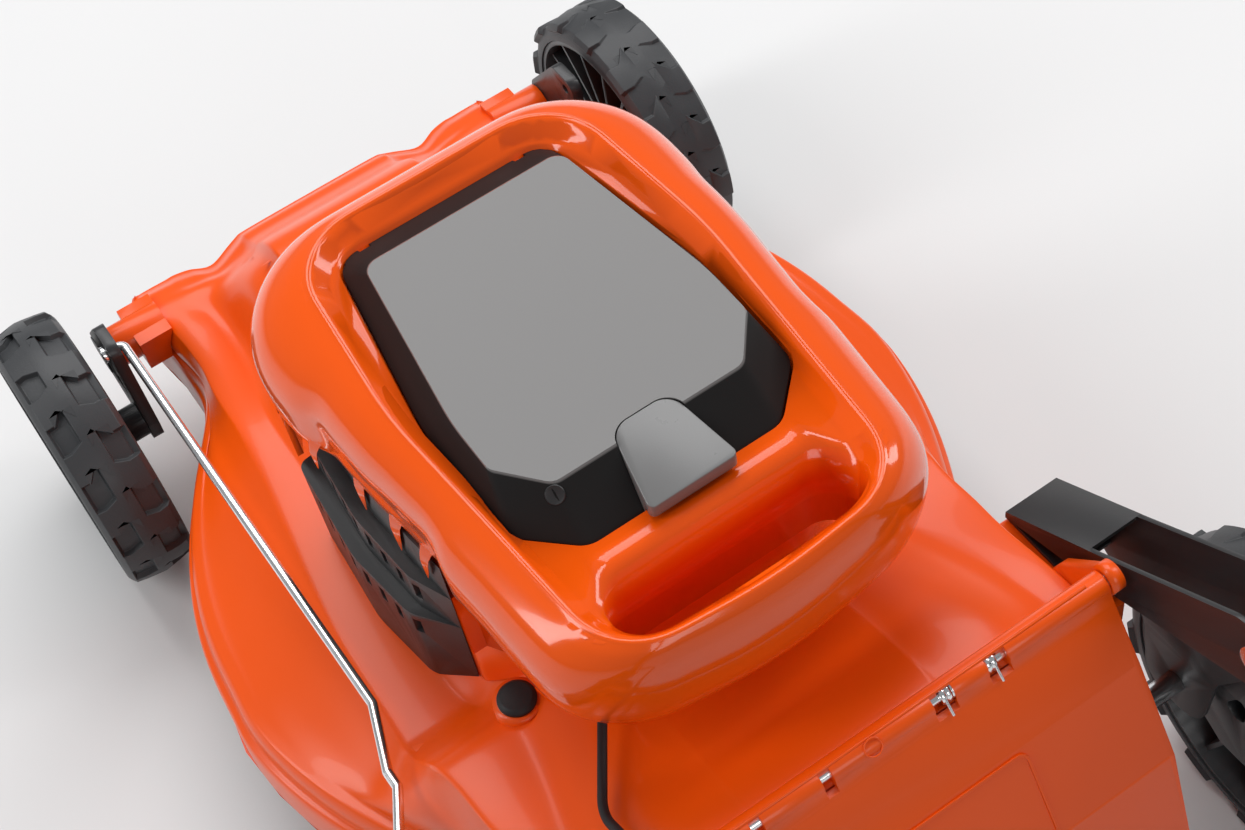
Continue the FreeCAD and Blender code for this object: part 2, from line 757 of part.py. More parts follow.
def battery_block():
    """Limits of the battery in each axis."""
    gap = bay_wall + 2.2 + battery_gap
    return ((-bay_half_width + gap, bay_half_width - gap),
            (fore(bay_rear) + bay_wall + battery_gap, fore(bay_front) - bay_wall - battery_gap),
            (lid_seat_z - bay_depth + bay_wall + 0.3, lid_seat_z - 3))


def battery_pack():
    """Slide-in battery: stepped case with a grip recess and terminal slots."""
    xs, ys, zs = battery_block()
    case = level_plate([(xs[1], ys[1], 8), (xs[1], ys[0], 8), (xs[0], ys[0], 8), (xs[0], ys[1], 8)], zs[0], zs[1])
    case = softened(case, 4, zs[1])
    grip = box((-battery_grip_half, battery_grip_half), (ys[0] + 22, ys[0] + 50), (zs[1] - 18, zs[1] + 1))
    seat = latch_button_room(battery_gap * 0.4)
    terminals = [box((x - 2, x + 2), (ys[1] - 12, ys[1] + 1), (zs[0] - 1, zs[0] + 22)) for x in (-24, -8, 8, 24)]
    return case.cut(grip).cut(seat).cut(Part.makeCompound(terminals))


def latch_button_room(gap):
    """Space of the battery's release button, grown by gap."""
    xs, ys, zs = battery_block()
    return box((-14 - gap, 14 + gap), (ys[1] - 34 - gap, ys[1] - 16 + gap),
               (zs[1] - 8 - (latch_travel + gap if gap else 0), zs[1] + 1.5))


def battery_button():
    button = latch_button_room(0)
    return softened(button, 1.2, button.BoundBox.ZMax)


# ---------------------------------------------------------------- motor and blade
def motor_housing():
    """Motor can on its flange, with cooling fins round the crown and a bearing bore."""
    base, top = motor_base_z, motor_base_z + motor_height
    motor_y = fore(motor_axis_y)
    centre = Vec(0, motor_y, 0)
    can = turned([(0, base - 0.0, 0), (motor_r + 8, base, 0), (motor_r + 8, base + 5, 1.5), (motor_r, base + 5, 1),
                  (motor_r, top - 4, 3), (motor_r - 10, top, 3), (0, top, 0)], centre, Z_AXIS)
    bore = rod_along_z(base - 1, top - 6, 0, motor_y, shaft_r + running_clearance)
    chamber = rod_along_z(base + 6, top - 9, 0, motor_y, motor_r - 12)
    slots = []
    for i in range(motor_vents):
        slot = box((motor_r - 7, motor_r + 2), (motor_y - 3, motor_y + 3), (base + 10, top - 10))
        slots.append(slot.rotate(centre, Z_AXIS, 360.0 * i / motor_vents))
    return can.cut(bore).cut(chamber).cut(Part.makeCompound(slots))


def rotor_shaft():
    """Rotor drum on the blade shaft."""
    motor_y = fore(motor_axis_y)
    top = motor_base_z + motor_height
    shaft = rod_along_z(blade_z + blade_thickness + holder_thickness - 8, top - 7, 0, motor_y, shaft_r)
    drum = rod_along_z(motor_base_z + 8, top - 11, 0, motor_y, motor_r - 14)
    drum = drum.cut(rod_along_z(motor_base_z + 7, top - 14, 0, motor_y, motor_r - 18))
    return fused([shaft, drum])


def blade_holder():
    """Hub that clamps the blade, with a fan plate and two locating lugs."""
    motor_y = fore(motor_axis_y)
    low = blade_z + blade_thickness
    hub = turned([(0, low, 0), (holder_r, low, 0), (holder_r, low + 4, 1.5), (shaft_r + 8, low + 7, 3),
                  (shaft_r + 6, low + holder_thickness + 22, 2), (0, low + holder_thickness + 22, 0)],
                 Vec(0, motor_y, 0), Z_AXIS)
    lugs = [box((x - 4, x + 4), (motor_y - 6, motor_y + 6), (low - blade_thickness + 0.4, low + 1)) for x in (-22, 22)]
    hub = fused([hub] + lugs)
    return hub.cut(rod_along_z(low + holder_thickness - 8, low + 60, 0, motor_y, shaft_r)).cut(
        rod_along_z(low - 5, low + holder_thickness - 6, 0, motor_y, blade_bolt_r))


def mower_blade():
    """Lift blade: flat middle, ground edges and turned-up rear corners at both tips."""
    motor_y = fore(motor_axis_y)
    half = blade_length / 2
    bar = box((-half, half), (motor_y - blade_width / 2, motor_y + blade_width / 2), (blade_z, blade_z + blade_thickness))
    tip = []
    for side in (-1, 1):
        lift = side_plate([(0, 0, 0), (-blade_lift, blade_lift * 0.8, 0), (-blade_lift + 2, blade_lift * 0.8 + 2.6, 0),
                           (2, blade_thickness, 0), (6, blade_thickness, 0), (6, 0, 0)],
                          half - blade_wing, half)
        lift.translate(Vec(0, motor_y - blade_width / 2, blade_z))
        bevel = side_plate([(motor_y + blade_width / 2 - 9, blade_z + blade_thickness + 0.1, 0),
                            (motor_y + blade_width / 2 + 1, blade_z + 0.2, 0),
                            (motor_y + blade_width / 2 + 1, blade_z + blade_thickness + 1, 0)],
                           half - blade_wing * 1.3, half + 1)
        turn = 180 if side < 0 else 0
        centre = Vec(0, motor_y, 0)
        tip.append((lift.rotate(centre, Z_AXIS, turn), bevel.rotate(centre, Z_AXIS, turn)))
    blade = fused([bar] + [lift for lift, bevel in tip])
    for lift, bevel in tip:
        blade = blade.cut(bevel)
    for x in (-22, 22):
        blade = blade.cut(box((x - 4.3, x + 4.3), (motor_y - 6.3, motor_y + 6.3), (blade_z - 1, blade_z + 9)))
    return blade.cut(rod_along_z(blade_z - 1, blade_z + 9, 0, motor_y, blade_bolt_r + 0.3))


def blade_bolt():
    """Hexagon bolt and dished washer under the blade."""
    motor_y = fore(motor_axis_y)
    low = blade_z
    corners = [(9.5 * math.cos(math.radians(60 * i)), motor_y + 9.5 * math.sin(math.radians(60 * i)), 0)
               for i in range(6)]
    head = level_plate(corners, low - 9, low - 2.5)
    washer = rod_along_z(low - 2.5, low, 0, motor_y, 17)
    shank = rod_along_z(low - 2.5, low + blade_thickness + holder_thickness - 8, 0, motor_y, blade_bolt_r - 0.2)
    return fused([head, washer, shank])


# ---------------------------------------------------------------- running gear
def wheel_spec(end):
    """Radius, inner face and axle centre of the wheels at the front or the rear."""
    if end == "front":
        return front_wheel_r, front_wheel_inner_x, fore(0), front_wheel_r
    return rear_wheel_r, rear_wheel_inner_x, fore(wheelbase), rear_wheel_r


def tyre(end):
    """Moulded tyre with staggered shoulder lugs and a groove round each side of the middle rib."""
    radius, inner_x, y, z = wheel_spec(end)
    centre = Vec(inner_x, y, z)
    bore = radius - tyre_height
    half = [(bore, 0), (radius - 7, 0), (radius - 2, 3), (radius, 9)]
    profile = half + [(r, wheel_width - a) for r, a in reversed(half)]
    body = turned([(r, a, 0) for r, a in profile], centre, X_AXIS)
    cuts = []
    reach = wheel_width * 0.34
    for i in range(tread_lugs):
        for low, shift in ((-1, 0), (wheel_width - reach + 1, 0.5)):
            groove = box((inner_x + low, inner_x + low + reach), (y - tread_groove / 2, y + tread_groove / 2),
                         (z + radius - tread_depth, z + radius + 2))
            groove.rotate(centre, X_AXIS, 360.0 * (i + shift) / tread_lugs)
            cuts.append(groove)
    return body.cut(Part.makeCompound(cuts))


def rim(end):
    """Wheel: barrel, outer web, hub and thin radial ribs open to the inner side."""
    radius, inner_x, y, z = wheel_spec(end)
    centre = Vec(inner_x, y, z)
    barrel_r = radius - tyre_height - 0.1
    outer_x = wheel_width - web_inset
    barrel = turned([(barrel_r - rim_wall, 1, 0), (barrel_r, 1, 0), (barrel_r, wheel_width - 1, 0),
                     (barrel_r - rim_wall, wheel_width - 1, 0)], centre, X_AXIS)
    web = turned([(hub_r - 2, outer_x - 4, 0), (barrel_r - rim_wall + 0.5, outer_x, 0),
                  (barrel_r - rim_wall + 0.5, outer_x + 3, 0), (hub_r - 2, outer_x - 1, 0)], centre, X_AXIS)
    hub = ring_along_x(inner_x + 1, inner_x + wheel_width - hub_recess, y, z, hub_r, axle_stub_r + running_clearance)
    spokes = []
    for i in range(rim_spokes):
        spoke = box((inner_x + 6, inner_x + outer_x - 1), (y - spoke_width / 2, y + spoke_width / 2),
                    (z + hub_r - 1.5, z + barrel_r - rim_wall + 0.8))
        spoke = spoke.rotate(centre, X_AXIS, 360.0 * i / rim_spokes)
        spokes.append(spoke)
    return fused([barrel, web, hub] + spokes)


def hub_cap(end):
    """Round cap over the axle nut."""
    radius, inner_x, y, z = wheel_spec(end)
    start = wheel_width - hub_recess + 0.4
    cap = turned([(0, wheel_width - 1, 0), (cap_r - 7, wheel_width - 1, 0), (cap_r - 1.5, wheel_width - 3, 0),
                  (cap_r, start + 3, 0), (cap_r, start, 0),
                  (cap_r - 2.5, start, 0), (cap_r - 2.5, start + 3, 0), (nut_r + 1.5, wheel_width - 4, 0),
                  (0, wheel_width - 4, 0)], Vec(inner_x, y, z), X_AXIS)
    return cap


def axle_nuts(end):
    """Washer and lock nut on each axle stub."""
    radius, inner_x, y, z = wheel_spec(end)
    start = inner_x + wheel_width - hub_recess + 0.3
    nuts = []
    for side in (-1, 1):
        washer = rod_along_x(start, start + 1.2, y, z, nut_r)
        corners = [(y + nut_r * 0.9 * math.cos(math.radians(60 * i)), z + nut_r * 0.9 * math.sin(math.radians(60 * i)), 0)
                   for i in range(6)]
        nut = side_plate(corners, start + 1.2, start + 4.2)
        bore = rod_along_x(start - 1, start + 9, y, z, axle_stub_r)
        nuts.append(for_side(fused([washer, nut]).cut(bore), side))
    return Part.makeCompound(nuts)


def arm(end):
    """Bell-crank arm: pivot boss, wheel stub and the lug that takes the adjusting rod."""
    radius, inner_x, wheel_y, wheel_z = wheel_spec(end)
    x0 = front_arm_x if end == "front" else rear_arm_x
    x1 = x0 + arm_thickness
    s, pivot_z = front_pivot() if end == "front" else rear_pivot()
    pivot_y = fore(s)
    pin_y, pin_z = pivot_y - crank_back, pivot_z + rod_pin_rise
    plate = side_plate([(pivot_y + 14, pivot_z - 8, 10), (pivot_y + 8, pivot_z + 14, 12), (pin_y + 14, pin_z + 9, 8),
                        (pin_y - 9, pin_z + 9, 8), (pin_y - 9, pin_z - 12, 8), (wheel_y - 14, wheel_z + 6, 12),
                        (wheel_y - 11, wheel_z - 14, 10), (wheel_y + 12, wheel_z - 15, 8)], x0, x1)
    window = side_plate([(pin_y + 16, pivot_z + 2, 5), (pin_y + 3, pivot_z + 26, 4), (pin_y + 1, pivot_z - 4, 5)],
                        x0 - 1, x1 + 1)
    boss = rod_along_x(x0, x1 + 0.5, pivot_y, pivot_z, arm_boss_r)
    collar = rod_along_x(x1 - 1, inner_x - 0.6, wheel_y, wheel_z, axle_stub_r + 5)
    stub = rod_along_x(x1 - 2, inner_x + wheel_width - hub_recess + 4.5, wheel_y, wheel_z, axle_stub_r)
    whole = fused([plate.cut(window), boss, collar, stub])
    whole = whole.cut(rod_along_x(x0 - 1, x1 - 1.5, pivot_y, pivot_z, pivot_bar_r + 0.02))
    return whole.cut(rod_along_x(x0 - 1, x1 + 1, pin_y, pin_z, rod_r + 0.25))


def pivot_bar(end):
    """Torsion bar that joins the left and right arms of one axle."""
    s, z = front_pivot() if end == "front" else rear_pivot()
    reach = (front_arm_x if end == "front" else rear_arm_x) + arm_thickness - 2
    return rod_along_x(-reach, reach, fore(s), z, pivot_bar_r)


def bent_path(points, radius):
    """A line through points in space, each corner turned with an arc."""
    edges = []
    here = points[0]
    for before, corner, after in zip(points, points[1:], points[2:]):
        back = (before - corner).normalize()
        ahead = (after - corner).normalize()
        half = back.getAngle(ahead) / 2
        reach = radius / math.tan(half)
        bisector = (back + ahead).normalize()
        start = corner + back * reach
        end = corner + ahead * reach
        middle = corner + bisector * (radius / math.sin(half) - radius)
        edges.append(Part.LineSegment(here, start).toShape())
        edges.append(Part.Arc(start, middle, end).toShape())
        here = end
    edges.append(Part.LineSegment(here, points[-1]).toShape())
    return Part.Wire(edges)


def bent_rod(points, bend_r, radius):
    """Round bar along a bent path: straight lengths joined by turned elbows."""
    pieces = []
    for edge in bent_path(points, bend_r).Edges:
        start = edge.valueAt(edge.FirstParameter)
        along = edge.tangentAt(edge.FirstParameter)
        if isinstance(edge.Curve, Part.Line):
            pieces.append(Part.makeCylinder(radius, edge.Length, start, along))
            continue
        disc = Part.Face(Part.Wire(Part.makeCircle(radius, start, along)))
        centre = edge.Curve.Center
        axis = (start - centre).cross(along)
        pieces.append(disc.revolve(centre, axis, math.degrees(edge.Length / edge.Curve.Radius)))
    return fused(pieces)


def height_rod():
    """Adjusting rod on the left: hooked through both arms and stepped out past the deck."""
    front_s, front_z = front_pivot()
    rear_s, rear_z = rear_pivot()
    start = Vec(-rod_x, fore(front_s + crank_back), front_z + rod_pin_rise)
    finish = Vec(-rod_x, fore(rear_s + crank_back), rear_z + rod_pin_rise)
    slope = (finish.z - start.z) / (finish.y - start.y)
    points = [start + Vec(rod_x - front_arm_x - arm_thickness - 3.5, 0, 0), start]
    x = -rod_x
    for near, far, out in rod_steps:
        for s in (near, far):
            points.append(Vec(x, fore(s), start.z + slope * (fore(s) - start.y)))
            x = x - out if s == near else x
    finish.x = x
    points += [finish, Vec(-rear_arm_x - arm_thickness - 2.5, finish.y, finish.z)]
    return bent_rod(points, rod_bend_r, rod_r)


def rod_caps():
    """Push-on retaining caps on the rod's two hooked ends."""
    caps = []
    for end, x0 in (("front", front_arm_x), ("rear", rear_arm_x)):
        s, z = front_pivot() if end == "front" else rear_pivot()
        x = x0 + arm_thickness + 0.3
        cap = ring_along_x(x, x + 3.0, fore(s + crank_back), z + rod_pin_rise, rod_r + 2.2, rod_r)
        caps.append(mirrored(cap))
    return Part.makeCompound(caps)


def height_lever():
    """Flat spring-steel lever fixed to the left rear arm."""
    s, z = rear_pivot()
    y = fore(s)
    x0 = rear_arm_x + arm_thickness + 0.5
    length = lever_length
    plate = side_plate([(y + length - 14.2, z + 6, 5), (y + sector_r - 8, z + 6, 60), (y - 12, z + 12, 11),
                        (y - 12, z - 12, 11), (y + sector_r - 8, z - 6, 60), (y + length - 14.2, z - 6, 5)],
                       x0, x0 + lever_thickness)
    plate.rotate(Vec(0, y, z), X_AXIS, lever_angle_deg)
    return mirrored(plate)


def lever_knob():
    """Soft knob on the lever's end."""
    s, z = rear_pivot()
    y = fore(s)
    x0 = rear_arm_x + arm_thickness + 0.5
    start = sector_r + 2
    body = box((x0 - 5, x0 + lever_thickness + 9), (y + start, y + lever_length), (z - 10, z + 10))
    body = body.makeFillet(4.5, body.Edges)
    slot = box((x0, x0 + lever_thickness), (y + start - 1, y + lever_length - 14), (z - 6.05, z + 6.05))
    body = body.cut(slot)
    body.rotate(Vec(0, y, z), X_AXIS, lever_angle_deg)
    return mirrored(body)


def height_sector():
    """Notched plate that the lever springs into, on two standoffs from the left bracket."""
    s, z = rear_pivot()
    centre = Vec(0, fore(s), z)
    x1 = rear_arm_x + arm_thickness + 0.2
    x0 = x1 - sector_thickness
    start = lever_angle_deg + 8
    end = lever_angle_deg - height_travel_deg - 8
    sector = Part.makeCylinder(sector_r, sector_thickness, Vec(x0, centre.y, centre.z), X_AXIS, 360)
    sector = sector.cut(rod_along_x(x0 - 1, x1 + 1, centre.y, centre.z, sector_r - sector_band))
    wedge = []
    far = sector_r * 2
    for angle in (start, end):
        direction = Vec(0, math.cos(math.radians(angle)), math.sin(math.radians(angle)))
        wedge.append(centre + direction * far)
    keep = flat_solid([(centre.y, centre.z, 0), (wedge[0].y, wedge[0].z, 0), (wedge[1].y, wedge[1].z, 0)],
                      on_side(x0 - 1), Vec(sector_thickness + 2, 0, 0))
    sector = sector.common(keep)
    notches = []
    for i in range(sector_notches):
        notch = box((x0 - 1, x1 + 1), (centre.y + sector_r - 5, centre.y + sector_r + 4), (centre.z - 2.2, centre.z + 2.2))
        step = height_travel_deg / (sector_notches - 1)
        notches.append(notch.rotate(centre, X_AXIS, lever_angle_deg - step * i))
    sector = sector.cut(Part.makeCompound(notches))
    posts = []
    cheek = bracket_x + bracket_width
    for angle in (start - 5, sector_post_deg):
        direction = Vec(0, math.cos(math.radians(angle)), math.sin(math.radians(angle)))
        spot = centre + direction * (sector_r - sector_band / 2)
        posts.append(rod_along_x(cheek, x0 + 0.5, spot.y, spot.z, 4))
    return mirrored(fused([sector] + posts))


# ---------------------------------------------------------------- rear flap
def flap_line():
    """The flap's outer face in side view, from the bead down."""
    y, z = fore(flap_hinge_y), flap_hinge_z
    return [(y - 3, z + flap_bead_r - 1), (y - 10, z - 6), (y - 30, z - 34), (y - 60, z - 82), (y - 82, z - 150)]


def rear_flap():
    """Spring-loaded flap over the discharge tunnel: bead round the hinge rod, end flanges and a framed panel."""
    y, z = fore(flap_hinge_y), flap_hinge_z
    outer = flap_line()
    inner = [(a + flap_wall * 0.9, b - flap_wall * 0.45) for a, b in outer]
    profile = [(a, b, 14 if 0 < i < len(outer) - 1 else 0) for i, (a, b) in enumerate(outer)]
    back = [(a, b, 12 if 0 < i < len(inner) - 1 else 0) for i, (a, b) in enumerate(inner)]
    panel = side_plate(profile + back[::-1], -flap_half_width, flap_half_width)
    bead = rod_along_x(-flap_half_width, flap_half_width, y, z, flap_bead_r)
    flanges = []
    for side in (-1, 1):
        edge = [(a, b, 0) for a, b in outer] + [(a + flap_flange, b + 2, 0) for a, b in reversed(outer[1:])]
        flange = side_plate(edge, flap_half_width - flap_wall, flap_half_width)
        flanges.append(for_side(flange, side))
    flap = fused([panel, bead] + flanges)
    flap = flap.cut(rod_along_x(-200, 200, y, z, flap_pin_r + running_clearance))
    room = ring_along_x(spring_x - spring_half, spring_x + spring_half, y, z, spring_r + 0.6, flap_pin_r)
    slots = []
    for x, half in flap_windows:
        slots.append(box((x - half, x + half), (y - 12, y - 1), (z - 4.5, z + 12)))
    return flap.cut(room).cut(Part.makeCompound(slots))


def hinge_rod():
    return rod_along_x(-flap_half_width - 9, flap_half_width + 9, fore(flap_hinge_y), flap_hinge_z, flap_pin_r)


def hinge_bore():
    return rod_along_x(-200, 200, fore(flap_hinge_y), flap_hinge_z, flap_pin_r + running_clearance)


def flap_spring():
    """Torsion spring round the hinge rod, with a leg showing in each window."""
    y, z = fore(flap_hinge_y), flap_hinge_z
    start = spring_x - spring_half + 1.2
    pitch = (2 * spring_half - 2.4) / spring_turns
    valley, crest = spring_r - 0.5, spring_r
    profile = [(spring_bore_r, start, 0)]
    for i in range(spring_turns):
        along = start + pitch * i
        profile += [(valley, along, 0), (crest, along + pitch * 0.3, 0), (crest, along + pitch * 0.7, 0)]
    end = start + pitch * spring_turns
    profile += [(valley, end, 0), (spring_bore_r, end, 0)]
    coil = turned([(r, a, 0) for r, a, q in profile], Vec(0, y, z), X_AXIS)
    legs = []
    for x in (start + 1.5, end - 1.5):
        legs.append(Part.makeCylinder(spring_leg_r, 11, Vec(x, y - 2.5, z + 3.4), Vec(0, -0.72, -0.69)))
    return fused([coil] + legs)


def hinge_ears():
    """Ears on the deck's tail that hold the hinge rod, one each side of the flap."""
    y, z = fore(flap_hinge_y), flap_hinge_z
    tail = fore(deck_tail)
    near, far = flap_half_width + 1, flap_half_width + 8
    ears = []
    for side in (-1, 1):
        ring = rod_along_x(near, far, y, z, flap_ear_r)
        web = side_plate([(tail + 30, z - 44, 0), (tail - 1, z - 44, 4), (tail - 8, z - 22, 6), (y - flap_ear_r, z, 0),
                          (y + flap_ear_r, z, 0), (tail + 22, z - 26, 6)], near, far)
        root = side_plate([(tail + 30, z - 50, 0), (tail, z - 50, 0), (tail, z - 30, 3), (tail + 24, z - 30, 6)],
                          tunnel_half_width - 14, far)
        ears.append(for_side(fused([ring, web, root]), side))
    return ears


# ---------------------------------------------------------------- handle
def lean(distance, rise=0.0):
    """Point (y, z) along the handle from its lower pivot, and above its plane."""
    a = math.radians(handle_lean_deg)
    y = fore(handle_pivot_y) - distance * math.cos(a) + rise * math.sin(a)
    z = handle_pivot_z + distance * math.sin(a) + rise * math.cos(a)
    return y, z


def leant(shape):
    """A shape drawn with the handle lying back along -Y through the pivot, raised to the handle's lean."""
    pivot = Vec(0, fore(handle_pivot_y), handle_pivot_z)
    return shape.rotate(pivot, X_AXIS, -handle_lean_deg)


def flat_point(x, distance, rise=0.0):
    """A point of the handle before it is leant: distance back from the pivot, rise above."""
    return Vec(x, fore(handle_pivot_y) - distance, handle_pivot_z + rise)


def handle_bracket(side):
    """Pressed bracket: foot on the deck, two cheeks for the handle and a lobe round the rear pivot bar."""
    pivot_y, pivot_z = fore(handle_pivot_y), handle_pivot_z
    s, bar_z = rear_pivot()
    bar_y = fore(s)
    outer_x = bracket_x + bracket_width
    front_y = fore(deck_tail - wing_length + 8)
    crest = [(front_y, wing_top_z + 1, 6), (front_y - 62, wing_top_z + 42, 14), (pivot_y + 14, pivot_z + 17, 14),
             (pivot_y - 18, pivot_z + 12, 16)]
    lobe = [(pivot_y - 12, pivot_z - 22, 16), (bar_y - 24, bar_z + 30, 20), (bar_y - 20, bar_z - 22, 18),
            (bar_y + 20, bar_z - 22, 18), (bar_y + 26, bar_z + 26, 18), (front_y - 34, wing_top_z - 9, 10),
            (front_y, wing_top_z - 4, 1)]
    outer = side_plate(crest + lobe, outer_x - bracket_wall, outer_x)
    inner = side_plate(crest + [(pivot_y - 12, pivot_z - 20, 14), (front_y - 60, wing_top_z + 16, 12),
                                (front_y, wing_top_z - 4, 1)], bracket_x, bracket_x + bracket_wall)
    flange = side_plate([(front_y, wing_top_z + 1, 0), (front_y - 58, wing_top_z + 39.4, 0),
                         (front_y - 58, wing_top_z + 36, 0), (front_y, wing_top_z - 2, 0)], bracket_x, outer_x)
    foot = box((bracket_x, outer_x), (front_y, front_y - 44), (wing_top_z - 4, wing_top_z - 1.5))
    ribs = []
    for share in (0.2, 0.45, 0.7):
        y = front_y - 62 * share
        z = wing_top_z + 1 + 41 * share
        ribs.append(box((bracket_x + 1, outer_x - 1), (y - 1, y + 1), (z - 12.5, z - 1)))
    bracket = fused([outer, inner, flange, foot] + ribs)
    bracket = bracket.cut(rod_along_x(0, 300, bar_y, bar_z, pivot_bar_r + running_clearance))
    bracket = bracket.cut(rod_along_x(0, 300, pivot_y, pivot_z, pivot_bolt_r + seat_clearance))
    return for_side(bracket, side)


def foot_bolts(side):
    """Flanged bolts that hold the bracket's foot to the deck."""
    front_y = fore(deck_tail - wing_length + 8)
    bolts = []
    for x in (bracket_x + 8,):
        for y in (front_y - 20, front_y - 36):
            head = rod_along_z(wing_top_z - 1.3, wing_top_z + 2.6, x, y, 4.2)
            bolts.append(head)
    return [for_side(bolt, side) for bolt in bolts]


def tube_with_eyes(x, start, end, eye_r):
    """A straight handle tube lying back from the pivot, with a solid eye at each end."""
    length = end - start
    origin = flat_point(x, start)
    tube = Part.makeCylinder(tube_r, length, origin, Vec(0, -1, 0))
    plug = eye_r + eye_web
    bore = Part.makeCylinder(tube_r - tube_wall, length - 2 * plug, flat_point(x, start + plug), Vec(0, -1, 0))
    eyes = [Part.makeCylinder(eye_r, 2 * tube_r, flat_point(x - tube_r, d), X_AXIS) for d in (start, end)]
    return fused([tube] + eyes).cut(bore)


def lower_handle(side):
    """Lower handle tube, with an eye for the bracket bolt and one for the mid joint."""
    tube = tube_with_eyes(lower_tube_x, 0, lower_length, eye_r)
    for distance in (0, lower_length):
        tube = tube.cut(Part.makeCylinder(pivot_bolt_r + running_clearance, 60, flat_point(lower_tube_x - 30, distance),
                                          X_AXIS))
    return for_side(leant(tube), side)


def upper_handle():
    """Bent upper handle: one tube from eye to eye."""
    low, high = lower_length, lower_length + upper_length
    points = [flat_point(upper_tube_x, low), flat_point(upper_tube_x, high), flat_point(-upper_tube_x, high),
              flat_point(-upper_tube_x, low)]
    outer = bent_rod(points, handle_bend_r, tube_r)
    start = flat_point(upper_tube_x, low + eye_r + eye_web)
    finish = flat_point(-upper_tube_x, low + eye_r + eye_web)
    inner = bent_rod([start, points[1], points[2], finish], handle_bend_r, tube_r - tube_wall)
    eyes = []
    for x in (upper_tube_x, -upper_tube_x):
        eyes.append(Part.makeCylinder(eye_r, 2 * tube_r, flat_point(x - tube_r, low), X_AXIS))
    handle = fused([outer] + eyes).cut(inner)
    hole = Part.makeCylinder(pivot_bolt_r + running_clearance, 600, flat_point(-300, low), X_AXIS)
    return leant(handle.cut(hole))


def pivot_bolt(side):
    """Carriage bolt through the bracket and the lower handle's eye."""
    y, z = fore(handle_pivot_y), handle_pivot_z
    shank = rod_along_x(bracket_x - 1, bracket_x + bracket_width + 9, y, z, pivot_bolt_r)
    head = rod_along_x(bracket_x - 3.2, bracket_x - 0.2, y, z, 9)
    return for_side(fused([shank, head]), side)


def star_knob(side):
    """Five-lobed clamping knob on the pivot bolt."""
    y, z = fore(handle_pivot_y), handle_pivot_z
    x0 = bracket_x + bracket_width + 0.3
    body = rod_along_x(x0, x0 + 13, y, z, knob_r - 4)
    lobes = []
    for i in range(5):
        a = math.radians(72 * i + 18)
        lobes.append(rod_along_x(x0 + 2, x0 + 13, y + (knob_r - 5) * math.cos(a), z + (knob_r - 5) * math.sin(a), 5))
    knob = fused([body] + lobes)
    knob = knob.cut(rod_along_x(x0 - 1, bracket_x + bracket_width + 9.3, y, z, pivot_bolt_r + running_clearance))
    return for_side(knob, side)


def mid_bolt(side):
    """Bolt and spacer washer that join the lower and upper handles."""
    start, end = lower_tube_x - tube_r - 4, upper_tube_x + tube_r + 1.4
    shank = Part.makeCylinder(pivot_bolt_r, end - start, flat_point(start, lower_length), X_AXIS)
    head = Part.makeCylinder(8, 3.5, flat_point(start, lower_length), X_AXIS)
    gap0, gap1 = lower_tube_x + tube_r + 0.2, upper_tube_x - tube_r - 0.2
    spacer = Part.makeCylinder(9, gap1 - gap0, flat_point(gap0, lower_length), X_AXIS)
    yoke = cam_yoke()
    return for_side(leant(fused([shank, head, spacer, yoke])), side)


def cam_yoke():
    """Cross head on the bolt's end that the clamp lever turns on."""
    x0 = upper_tube_x + tube_r + 0.4
    middle = flat_point(0, lower_length).y
    base = box((x0, x0 + cam_offset + 3.6), (middle - 6, middle + 6), (handle_pivot_z - 4, handle_pivot_z + 4))
    return base.cut(Part.makeCylinder(cam_pin_r + running_clearance, 40,
                                      flat_point(x0 + cam_offset, lower_length, -20), Z_AXIS))


def cam_lever(side):
    """Quick-release lever lying back along the handle; it swings outward about its own pin."""
    x0 = upper_tube_x + tube_r + 0.4
    centre = flat_point(x0 + cam_offset, lower_length)
    pin = Part.makeCylinder(cam_pin_r, 22, centre + Vec(0, 0, -11), Z_AXIS)
    pads = []
    for z0 in (4.4, -11):
        pad = Part.makeCylinder(6.8, 6.6, centre + Vec(0, 0, z0), Z_AXIS)
        arm_bar = box((centre.x - 1.5, centre.x + 6.5), (centre.y, centre.y - 20), (centre.z + z0, centre.z + z0 + 6.6))
        pads += [pad, arm_bar]
    lever = box((centre.x + 0.5, centre.x + 6.5), (centre.y - 14, centre.y - cam_length), (centre.z - 11, centre.z + 11))
    return for_side(leant(fused([pin, lever] + pads)), side)


def grip_sleeve(side):
    """Soft sleeve on the top bar, beside the control box."""
    start, end = control_half + 3, upper_tube_x - handle_bend_r - 3
    high = lower_length + upper_length
    outer = Part.makeCylinder(grip_r, end - start, flat_point(start, high), X_AXIS)
    outer = outer.makeFillet(3.0, outer.Edges)
    inner = Part.makeCylinder(tube_r + 0.05, end - start + 2, flat_point(start - 1, high), X_AXIS)
    return for_side(leant(outer.cut(inner)), side)


def control_box():
    """Switch housing clamped on the top bar."""
    high = lower_length + upper_length
    top = flat_point(0, high)
    outline = [(top.y - 17, top.z - 15, 10), (top.y - 17, top.z + 14, 10), (top.y + 24, top.z + 14, 8),
               (top.y + control_length, top.z + 17, 6), (top.y + control_length, top.z - 12, 8),
               (top.y + 20, top.z - 15, 10)]
    body = side_plate(outline, -control_half, control_half)
    body = body.cut(Part.makeCylinder(tube_r + 0.05, 200, top + Vec(-100, 0, 0), X_AXIS))
    spot = button_spot()
    body = body.cut(Part.makeCylinder(button_r + 0.3, 12, spot + Vec(0, 0, -button_travel - 4), Z_AXIS))
    entry = top + Vec(-cable_box_x, control_length - 8, 0)
    body = body.cut(Part.makeCylinder(cable_r + 0.05, 20, entry, Y_AXIS))
    return leant(body)


